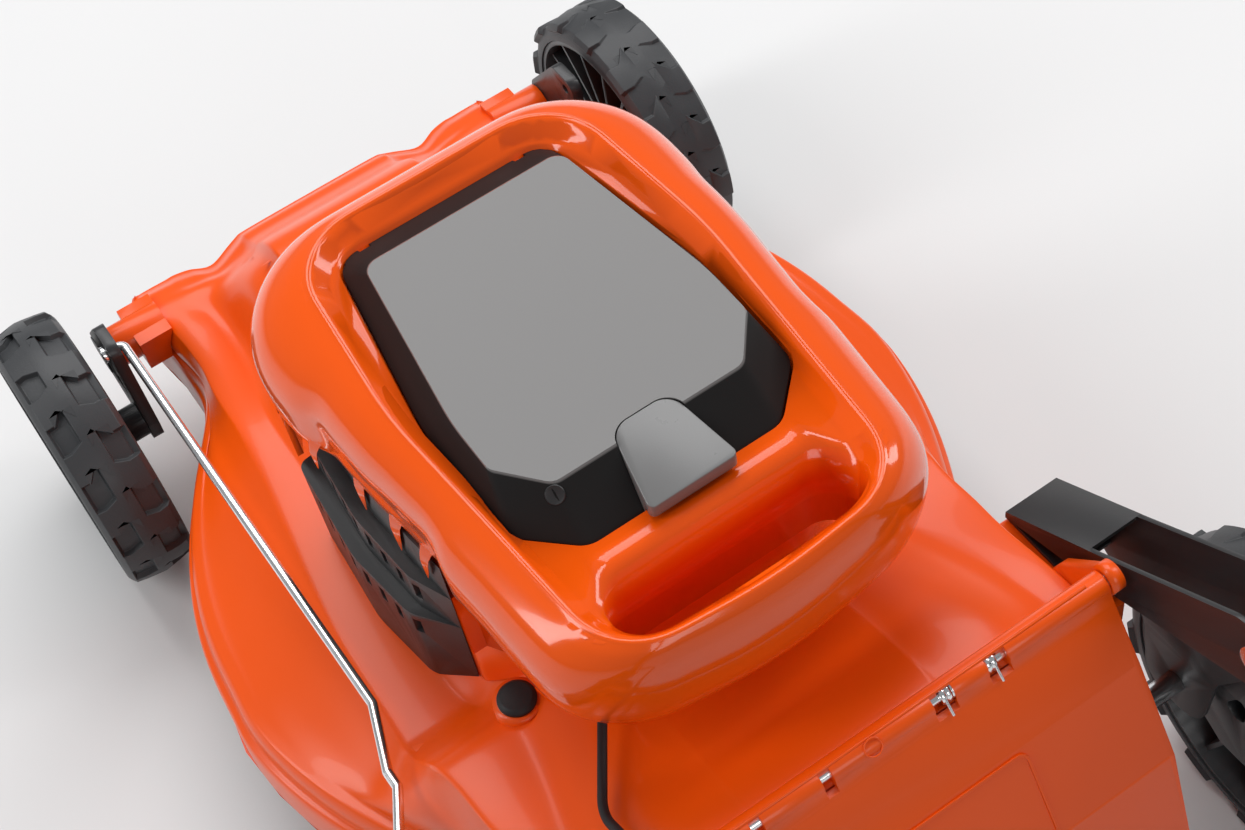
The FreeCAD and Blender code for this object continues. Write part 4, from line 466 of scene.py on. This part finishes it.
def deck_lines(s):
    """The deck's section: heights of foot, rim, crown and shoulder, the shoulder's edges, width and step."""
    foot = 62 + eased(s, [(75, 34), (53, 6), (0, 0)])
    rim = foot + eased(s, [(75, 6), (55, 27), (0, 36)])
    crown = eased(s, [(75, rim + 4), (58, 118), (-8, 164), (-70, 170), (-300, 174), (-385, 209), (-493, 236)])
    shoulder = eased(s, [(75, rim + 2), (60, 113), (10, 118), (-110, 138), (-318, 141), (-372, 192),
                         (-493, 216)])
    outer = eased(s, [(75, 130), (0, 121), (-62, 126), (-280, 151), (-335, 153), (-390, 146), (-493, 147)])
    inner = eased(s, [(75, 104), (0, 100), (-110, 111), (-300, 116), (-355, 106), (-493, 128)])
    width = chamber_width(s)
    step = eased(s, [(75, 0.5), (20, 1.5), (-60, 5), (-330, 5), (-400, 1)])
    outer = min(outer, width - step - 6)
    return foot, rim, crown, shoulder, outer, min(inner, outer - 8), width, step


def bare_section(s):
    """Right half of the solid's own section, from foot to crown."""
    foot, rim, crown, shoulder, outer, inner, width, step = deck_lines(s)
    dip = eased(s, [(75, 0), (60, 8), (0, 4), (-60, 0)])
    return [(width, foot), (width - 0.8, rim - 1.5), (width - step, rim + 1.5),
            (outer + (width - step - outer) * 0.72, rim + (shoulder - rim) * 0.55),
            (outer, shoulder), (inner, shoulder),
            (inner - 14, shoulder - dip + (crown - shoulder) * 0.35), (inner - 34, crown - 2), (0, crown)]


def sculpted_section(s):
    """Right half of the finished section, from foot to crown."""
    foot, rim, crown, shoulder, outer, inner, width, step = deck_lines(s)
    width -= 8.0 * max((s - 57) / 18, 0) ** 2
    outer = min(outer, width - step - 4)
    over = width - step - outer
    rise = shoulder - rim
    ledge = eased(s, [(20, 0), (-40, 1), (-380, 1), (-440, 0.2)])
    valley = eased(s, [(75, 0), (60, 2), (30, 3), (5, 9), (-45, 9), (-85, 0)])
    pad = eased(s, [(75, 0), (60, 3), (40, 4), (-60, 4), (-90, 0)])
    swell = eased(s, [(75, 0), (50, 3), (0, 2), (-80, 0)])
    step_line = [(width + 0.4, foot), (width + 0.4, foot + (rim - foot) * 0.5), (width, rim - 3),
                 (width - 1.0 - ledge * 0.6, rim - 0.6), (width - step, rim + 1.2),
                 (width - step - 1.2, rim + 11 * ledge + 1.6),
                 (width - step - 1.8 - 2.6 * ledge, rim + 14 * ledge + 2.2),
                 (width - step - 2.4 - 7.6 * ledge, rim + 15.4 * ledge + 3)]
    scoop = [(outer + over * 0.80 - 3 * ledge, rim + rise * (0.24 + 0.23 * ledge)),
             (outer + over * 0.58, rim + rise * 0.59), (outer + over * 0.36, rim + rise * 0.69),
             (outer + over * 0.13, rim + rise * 0.87)]
    horn = [(outer, shoulder - 0.6), (outer - 2.5, shoulder + swell * 0.5),
            ((outer + inner) / 2, shoulder + 1.0 + swell), (inner + 2.5, shoulder + 0.4 + swell * 0.4),
            (inner - 2, shoulder + 0.8 - valley * 0.2)]
    dip = [(inner - 9, shoulder - valley + (crown - shoulder) * 0.16),
           (inner - 16, shoulder - valley + (crown - shoulder) * 0.40),
           (inner - 26, crown - 6 - valley), (inner - 38, crown - 2 - valley * 0.9)]
    over_bar = eased(s, [(56, 0), (50, 118.6), (30, 118.6), (24, 0)])   # least height over the pivot bar
    edge = min(56.0, inner - 44)
    nose_pad = [(edge, crown - 1.2 - valley * 0.6), (edge - 4, crown + pad * 0.8), (edge - 9, crown + pad),
                (25, crown + pad), (0, crown + pad)]
    return step_line + scoop + [(x, max(z, over_bar)) for x, z in horn + dip] + nose_pad


def front_wave(x, s):
    """How far the front edge moves: nose and horns reach ahead of the dips between them."""
    near = eased(s, [(75, 1), (30, 0.35), (-10, 0)])
    dip = 9.0 * math.exp(-((abs(x) - 77) / 15) ** 2)
    corner = 2.5 * math.exp(-((abs(x) - 112) / 16) ** 2) + 0.16 * max(abs(x) - 128, 0)
    return -near * (dip + corner)


def mirrored(half):
    """A whole section from its right half, which ends on the middle."""
    return half + [(-x, z) for x, z in half[-2::-1]]


def deck_skin():
    """The deck's outer skin, laid through its sections; it takes the place of the solid's outside."""
    rows = [[spot(x, s + front_wave(x, s), z) for x, z in mirrored(sculpted_section(s))]
            for s in SKIN_STATIONS]
    mesh, place = laid_grid(rows)
    crease = mesh.edges.layers.float.new("crease_edge")
    middle, last = (len(rows[0]) - 1) // 2, len(rows) - 1
    for edge in mesh.edges:
        (i, j), (across, _) = (place[v] for v in edge.verts)
        if i == across:
            edge[crease] = SKIN_CREASES.get(middle - abs(i - middle), 0.0)
        elif j in (0, last):
            edge[crease] = END_CREASE
    return finished(mesh, "deck_skin", "satin_shell", "chassis", levels=2, thickness=SKIN_WALL)


def deck_core():
    """What lies within the skin: the solid's ring, floor, plinth, seats and inner face."""
    outside, _ = laid_grid([[spot(x, s, z) for x, z in mirrored(bare_section(s))] for s in BARE_STATIONS])
    tree = BVHTree.FromBMesh(outside)
    outside.free()
    mesh = merged_copy("deck_shell")
    slice_at(mesh, spot(0, CORE_NOSE, 0), (0, 1, 0))

    def on_skin(face):
        points = [face.calc_center_median()] + [v.co for v in face.verts]
        return all(tree.find_nearest(p)[3] < ON_SKIN for p in points)

    def over_valley(centre):
        return (VALLEY_S[0] < station(centre) < VALLEY_S[1] and centre.z * 1000 > VALLEY_Z
                and VALLEY_X[0] < abs(centre.x) * 1000 < VALLEY_X[1])

    outer = [f for f in mesh.faces if on_skin(f) or over_valley(f.calc_center_median())
             or station(f.calc_center_median()) > CORE_NOSE]
    bmesh.ops.delete(mesh, geom=outer, context="FACES")
    return finished(mesh, "deck_core", "satin_shell", "chassis", ["deck_shell"], fresh=False)


deck_core()
deck_skin()


# ---------------------------------------------------------------- motor cover
COVER_S = -298.0                # cover's middle, mm ahead of the front axle
# how far the finished flank is drawn in from the solid's, in mm, by station
LEFT_PULL = [(-196, 0), (-214, 3), (-236, 14), (-268, 17), (-300, 19), (-322, 20), (-334, 17), (-343, 12),
             (-366, 12), (-400, 11), (-440, 7), (-470, 5)]
RIGHT_PULL = [(-196, 0), (-214, 2), (-236, 7), (-268, 9), (-300, 10), (-322, 10), (-334, 8), (-343, 5),
              (-366, 5), (-400, 5), (-440, 4), (-470, 3)]
FLANK_DEPTH = [(331, 0), (324, 0.15), (310, 0.55), (292, 0.93), (262, 0.93)]    # its share, by height
FLANK_TURNS = 168               # points round each ring of the flank
FLANK_LEVELS = (264.5, 267, 271, 277, 283, 289, 295, 301, 307, 312.5, 317.5, 321.5, 325, 328, 330, 331.1)
LIP_TUCK = (4.5, 2.2, 0.8, 0.2, 0.0, 0.0)     # how far the lowest levels turn in over the vents
OVER_VENTS = (-346, -186)       # stations between which they do
SIDE_X = 0.09                   # and distance from the middle beyond which they do
OUTSIDE = 0.4                   # from where the rays that find the solid's flank start
FLANK_LIFT = 0.00015            # how far the flank is laid off the solid's
PULL_START, PULL_FULL = 40, 85  # distances from the middle between which the pull sets in
REAR_START, REAR_FULL, REAR_PULL = -425, -455, 0.006    # and stations for the pull at the rear
SMOOTH_BELOW, SMOOTH_SHARE, SMOOTH_ROUNDS = 0.328, 0.4, 3
# rings below the flank and above it: how far inward of it in mm, and their height
LIP = [(7.5, 268), (6.5, 263.6), (4.0, 262.1), (1.4, 262.4)]
CREST = [(1.0, 332.1), (2.6, 332.0), (4.4, 330.2), (7.8, 324.4)]
VENT_FRONT, VENT_REAR = -214.0, -341.0        # the vents' ends
VENT_HALF, VENT_TOP, COVER_FOOT = 104.5, 290.0, 257.5    # their inner side and top, and the flank's foot
RIDGE_Z = 322.0                 # height above which the core ends by the first margin inside the ridge
RIDGE_MARGIN, FLANK_MARGIN = 1.2, 8.0
FANGS = [(-222, 20, 0.8), (-252, 30, 1.0), (-283, 31, 1.0), (-309, 24, 0.85)]    # station, length and size
FANG_ROOT = 12.0                # how far a fang's root reaches up inside the flank
FANG_TOP, FANG_HALF = 265.0, 123.0            # height of the lip it hangs from, and distance from the middle
FANG_TIP_R, FANG_ROOT_R = 0.0006, 0.0085
FANG_CUTS = (0.35, 0.2, 0.0, -0.2)            # where it gets rings of points, as shares of its length
FANG_THIN, FANG_WAIST = 0.55, 0.22            # its thickness by its width, and how far its waist is drawn in
FANG_BOW, FANG_SWEEP = 0.005, 0.005           # how far its root leans in, and its tip forward


def pull_in(side, s):
    return eased(s, LEFT_PULL if side < 0 else RIGHT_PULL)


def drawn_in(point):
    """Where the finished flank runs: drawn in over the vents and behind them, and at the rear."""
    deep = eased(point.z * 1000, FLANK_DEPTH)
    share = min(max((abs(point.x) * 1000 - PULL_START) / (PULL_FULL - PULL_START), 0.0), 1.0)
    back = min(max((REAR_START - station(point)) / (REAR_START - REAR_FULL), 0.0), 1.0)
    moved = point.copy()
    moved.x -= math.copysign(pull_in(point.x, station(point)) * deep * share / 1000, point.x)
    moved.y += REAR_PULL * back * deep
    return moved


def flank_rows(tree):
    """Rings of points round the cover's flank, from its turned-in lip over the ridge to the slope within."""
    middle = spot(0, COVER_S, 0)

    def inward(ring, by, level):
        moved = []
        for point in ring:
            way = (point - middle) * Vector((1, 1, 0))
            moved.append(Vector((point.x, point.y, level / 1000)) - way.normalized() * by / 1000)
        return moved

    rings = []
    for level in FLANK_LEVELS:
        ring = []
        for i in range(FLANK_TURNS):
            angle = math.tau * i / FLANK_TURNS
            way = Vector((math.cos(angle), math.sin(angle), 0))
            start = middle + way * OUTSIDE + Vector((0, 0, level / 1000))
            ring.append(tree.ray_cast(start, -way)[0] + way * FLANK_LIFT)
        rings.append(ring)
    firm = rings[len(LIP_TUCK)]
    for ring, level, tuck in zip(rings, FLANK_LEVELS, LIP_TUCK):
        for i, point in enumerate(inward(firm, tuck, level)):
            if OVER_VENTS[0] < station(firm[i]) < OVER_VENTS[1] and abs(firm[i].x) > SIDE_X:
                ring[i] = point
    lip = [inward(rings[0], by, level) for by, level in LIP]
    return lip + rings + [inward(rings[-1], by, level) for by, level in CREST]


def shaped_cover():
    """The cover: its own inside and dish, under a flank laid as one smooth skin from lip to ridge."""
    core = merged_copy("motor_cover")
    rows = flank_rows(BVHTree.FromBMesh(core))
    middle = spot(0, COVER_S, 0)
    ridge = rows[-len(CREST)]

    def beyond_ridge(point):
        away = point - middle
        i = round(math.atan2(away.y, away.x) / math.tau * FLANK_TURNS) % FLANK_TURNS
        rim = ridge[i] - middle
        margin = RIDGE_MARGIN if point.z * 1000 > RIDGE_Z else FLANK_MARGIN
        return math.hypot(away.x, away.y) > math.hypot(rim.x, rim.y) - margin / 1000

    def hidden(face):
        centre = face.calc_center_median()
        x, z = abs(centre.x) * 1000, centre.z * 1000
        return (z > COVER_FOOT and all(beyond_ridge(v.co) for v in face.verts)
                or VENT_REAR < station(centre) < VENT_FRONT and x > VENT_HALF and z < VENT_TOP)

    for s in (VENT_REAR, VENT_FRONT):
        slice_at(core, spot(0, s, 0), (0, 1, 0))
    for x in (VENT_HALF, -VENT_HALF):
        slice_at(core, spot(x, 0, 0), (1, 0, 0))
    slice_at(core, spot(0, 0, COVER_FOOT), (0, 0, 1))
    bmesh.ops.delete(core, geom=[f for f in core.faces if hidden(f)], context="FACES")
    finished(core, "cover_core", "gloss_shell", "chassis", ["motor_cover"], fresh=False)

    mesh, _ = laid_grid([[drawn_in(point) for point in row + row[:1]] for row in rows])
    bmesh.ops.remove_doubles(mesh, verts=mesh.verts, dist=1e-6)
    for _ in range(SMOOTH_ROUNDS):
        lower = [v for v in mesh.verts if not v.is_boundary and v.co.z < SMOOTH_BELOW]
        bmesh.ops.smooth_vert(mesh, verts=lower, factor=SMOOTH_SHARE, use_axis_x=True, use_axis_y=True,
                              use_axis_z=False)
    return finished(mesh, "cover_flank", "gloss_shell", "chassis", ["motor_cover"], levels=1)


def vent_fang(side, s, length, size):
    """Four-sided tooth with a curved back that hangs from the cover's lower edge over the vent."""
    mesh = bmesh.new()
    reach = (length + FANG_ROOT) / 1000
    bmesh.ops.create_cone(mesh, cap_ends=True, segments=4, radius1=FANG_TIP_R, radius2=FANG_ROOT_R * size,
                          depth=reach)
    for cut in FANG_CUTS:
        slice_at(mesh, (0, 0, cut * reach), (0, 0, 1))
    for vert in mesh.verts:
        down = 0.5 - vert.co.z / reach
        waist = 1 - FANG_WAIST * math.sin(math.pi * min(down * 1.1, 1))
        vert.co.x = vert.co.x * FANG_THIN * waist - FANG_BOW * (1 - min(down / 0.45, 1)) ** 2
        vert.co.y = vert.co.y * waist + FANG_SWEEP * down * down
    if side < 0:
        bmesh.ops.scale(mesh, verts=mesh.verts, vec=(-1, 1, 1))
    x = FANG_HALF - pull_in(side, s) * eased(FANG_TOP, FLANK_DEPTH)
    bmesh.ops.translate(mesh, verts=mesh.verts, vec=spot(side * x, s, FANG_TOP + FANG_ROOT - reach * 500))
    name = ("left" if side < 0 else "right") + "_fang_%d" % -s
    return finished(mesh, name, "gloss_shell", "chassis", bevel=0.0004, limit=25.0)


shaped_cover()
for side in (-1, 1):
    for s, length, size in FANGS:
        vent_fang(side, s, length, size)


# ---------------------------------------------------------------- flap and lid details
FLAP_TOP_Z, FLAP_TOP_S = 207.6, -530.0      # where the flap's flat panel begins
FLAP_FALL = math.atan2(1.6, 1.0)            # how steeply it hangs
PANEL_DOWN = 50.0                           # how far down it the outline's middle lies
PANEL_SIZE, PANEL_CORNER = (0.149, 0.092, 1), 0.006
OUTLINE_WIDTH, OUTLINE_HEIGHT, OUTLINE_SUNK = 0.0016, 0.0011, 0.0001
RING_RADIUS, RING_WIRE = 0.0045, 0.0005
BEAD_WIRE, BEAD_LENGTH = 0.0009, 0.268
SCREW_FOOT, SCREW_TOP, SCREW_HEIGHT = 0.0048, 0.0044, 0.0006
SCREW_RIM, SCREW_DISH = 0.0012, 0.0003
RING_SPOT, SCREW_SPOT = (8.4, -505.5), (-53, -363)      # across and ahead of the front axle
BEAD_SPOT = (0, -501.0, 246.4)


def seated(mesh, name, x, s):
    """Sets a detail that lies flat round the origin on the outside of a solid, straight below this place."""
    solid = merged_copy(name)
    seat, up, _, _ = BVHTree.FromBMesh(solid).ray_cast(spot(x, s, 500), Vector((0, 0, -1)))
    solid.free()
    bmesh.ops.rotate(mesh, verts=mesh.verts, cent=(0, 0, 0), matrix=up.to_track_quat("Z", "Y").to_matrix())
    bmesh.ops.translate(mesh, verts=mesh.verts, vec=seat)


def flap_panel():
    """Raised outline round the flap's bare panel."""
    mesh = bmesh.new()
    bmesh.ops.create_grid(mesh, x_segments=1, y_segments=1, size=0.5)
    bmesh.ops.scale(mesh, verts=mesh.verts, vec=PANEL_SIZE)
    bmesh.ops.bevel(mesh, geom=mesh.verts[:], offset=PANEL_CORNER, segments=5, profile=0.5, affect="VERTICES",
                    material=-1)
    bmesh.ops.inset_individual(mesh, faces=mesh.faces[:], thickness=OUTLINE_WIDTH, depth=0.0)
    inside = max(mesh.faces, key=lambda f: f.calc_area())
    bmesh.ops.delete(mesh, geom=[inside], context="FACES")
    extruded = bmesh.ops.extrude_face_region(mesh, geom=mesh.faces[:])["geom"]
    raised = [v for v in extruded if isinstance(v, bmesh.types.BMVert)]
    bmesh.ops.translate(mesh, verts=raised, vec=(0, 0, OUTLINE_HEIGHT))
    bmesh.ops.translate(mesh, verts=mesh.verts, vec=(0, 0, -OUTLINE_SUNK))
    turn(mesh, FLAP_FALL, "X")
    bmesh.ops.translate(mesh, verts=mesh.verts, vec=spot(0, FLAP_TOP_S - PANEL_DOWN * math.cos(FLAP_FALL),
                                                         FLAP_TOP_Z - PANEL_DOWN * math.sin(FLAP_FALL)))
    return finished(mesh, "flap_panel_outline", "satin_shell", "flap", bevel=0.0002, limit=30.0)


def flap_ring():
    """Small moulded ring between the flap's windows."""
    mesh = bmesh.new()
    bmesh.ops.create_circle(mesh, cap_ends=False, segments=12, radius=RING_WIRE)
    turn(mesh, math.pi / 2, "X")
    bmesh.ops.translate(mesh, verts=mesh.verts, vec=(RING_RADIUS, 0, 0))
    bmesh.ops.spin(mesh, geom=mesh.verts[:] + mesh.edges[:], cent=(0, 0, 0), axis=(0, 0, 1), angle=math.tau,
                   steps=36, use_merge=True)
    bmesh.ops.remove_doubles(mesh, verts=mesh.verts, dist=1e-6)
    seated(mesh, "rear_flap", *RING_SPOT)
    return finished(mesh, "flap_ring", "satin_shell", "flap")


def flap_bead():
    """Half-sunk bead along the flap's rolled top."""
    mesh = bmesh.new()
    bmesh.ops.create_cone(mesh, cap_ends=True, segments=16, radius1=BEAD_WIRE, radius2=BEAD_WIRE,
                          depth=BEAD_LENGTH)
    turn(mesh, math.pi / 2, "Y")
    bmesh.ops.translate(mesh, verts=mesh.verts, vec=spot(*BEAD_SPOT))
    return finished(mesh, "flap_bead", "satin_shell", "flap")


def lid_screw():
    """Screw head set in the lid's rear left border."""
    mesh = bmesh.new()
    bmesh.ops.create_cone(mesh, cap_ends=True, segments=32, radius1=SCREW_FOOT, radius2=SCREW_TOP,
                          depth=SCREW_HEIGHT)
    top = max(mesh.faces, key=lambda f: f.calc_center_median().z)
    bmesh.ops.inset_region(mesh, faces=[top], thickness=SCREW_RIM, depth=-SCREW_DISH)
    seated(mesh, "battery_lid", *SCREW_SPOT)
    return finished(mesh, "lid_screw", "black_plastic", "lid", bevel=0.00015)


flap_panel()
flap_ring()
flap_bead()
lid_screw()


# ---------------------------------------------------------------- edges of the plain solids
EDGE_ROUND = 0.0003             # of every solid that has no round of its own
EDGE_ROUNDS = {"lid_tab": 0.0005, "vent_inserts": 0.0005, "rear_flap": 0.0007, "left_bracket": 0.0005,
               "right_bracket": 0.0005, "control_box": 0.001}

crisp_solid(nodes["battery_lid"])
for name, node in nodes.items():
    if not node.modifiers and not node.hide_render:
        soften_solid(node, EDGE_ROUNDS.get(name, EDGE_ROUND))


# ---------------------------------------------------------------- studio
# softboxes: name, place, what it is aimed at, width, power and height
SOFTBOXES = [("top_box", (0.50, 1.75, 2.3), (0, 0.3, 0.3), 2.4, 54.0, 1.9),
             ("left_strip", (-2.0, 0.9, 1.7), (0, 0.3, 0.2), 0.5, 26.0, 2.2),
             ("right_strip", (2.1, 0.2, 1.6), (0, 0.2, 0.2), 0.5, 22.0, 2.2),
             ("rear_fill", (-0.5, -2.6, 1.6), (0, 0.0, 0.3), 1.6, 18.0, 1.2)]
CAMERA_PLACE = (-0.2314, -0.2668, 1.1040)
CAMERA_TURN = (34.942, 6.844, -33.997)      # degrees about X, Y and Z
CAMERA_LENS = 61.13
SKY_TONE, SKY_STRENGTH = (0.75, 0.76, 0.78, 1), 0.34
FLOOR_TONE, FLOOR_ROUGH, FLOOR_HALF = (0.72, 0.72, 0.72, 1), 0.75, 40.0


def backdrop():
    """Pale floor that reaches well past the view on every side."""
    mesh = bmesh.new()
    bmesh.ops.create_grid(mesh, x_segments=1, y_segments=1, size=FLOOR_HALF)
    data = bpy.data.meshes.new("studio_floor")
    mesh.to_mesh(data)
    mesh.free()
    floor = bpy.data.objects.new("studio_floor", data)
    bpy.context.scene.collection.objects.link(floor)
    material, _, shader = blank_material("studio_paper")
    shader.inputs["Base Color"].default_value = FLOOR_TONE
    shader.inputs["Roughness"].default_value = FLOOR_ROUGH
    data.materials.append(material)


def softbox(name, place, aim, width, power, height):
    light = bpy.data.lights.new(name, "AREA")
    light.shape = "RECTANGLE"
    light.size = width
    light.size_y = height
    light.energy = power
    lamp = bpy.data.objects.new(name, light)
    lamp.location = place
    lamp.rotation_euler = (Vector(aim) - Vector(place)).to_track_quat("-Z", "Y").to_euler()
    bpy.context.scene.collection.objects.link(lamp)


backdrop()
for row in SOFTBOXES:
    softbox(*row)

world = bpy.data.worlds.new("studio")
bpy.context.scene.world = world
world.use_nodes = True
sky = world.node_tree.nodes["Background"]
sky.inputs["Color"].default_value = SKY_TONE
sky.inputs["Strength"].default_value = SKY_STRENGTH
bpy.context.scene.view_settings.view_transform = "Standard"

camera_data = bpy.data.cameras.new("camera")
camera_data.lens = CAMERA_LENS
camera_data.sensor_width = 36.0
camera = bpy.data.objects.new("camera", camera_data)
camera.location = CAMERA_PLACE
camera.rotation_euler = Euler([math.radians(a) for a in CAMERA_TURN], "XYZ")
bpy.context.scene.collection.objects.link(camera)
bpy.context.scene.camera = camera
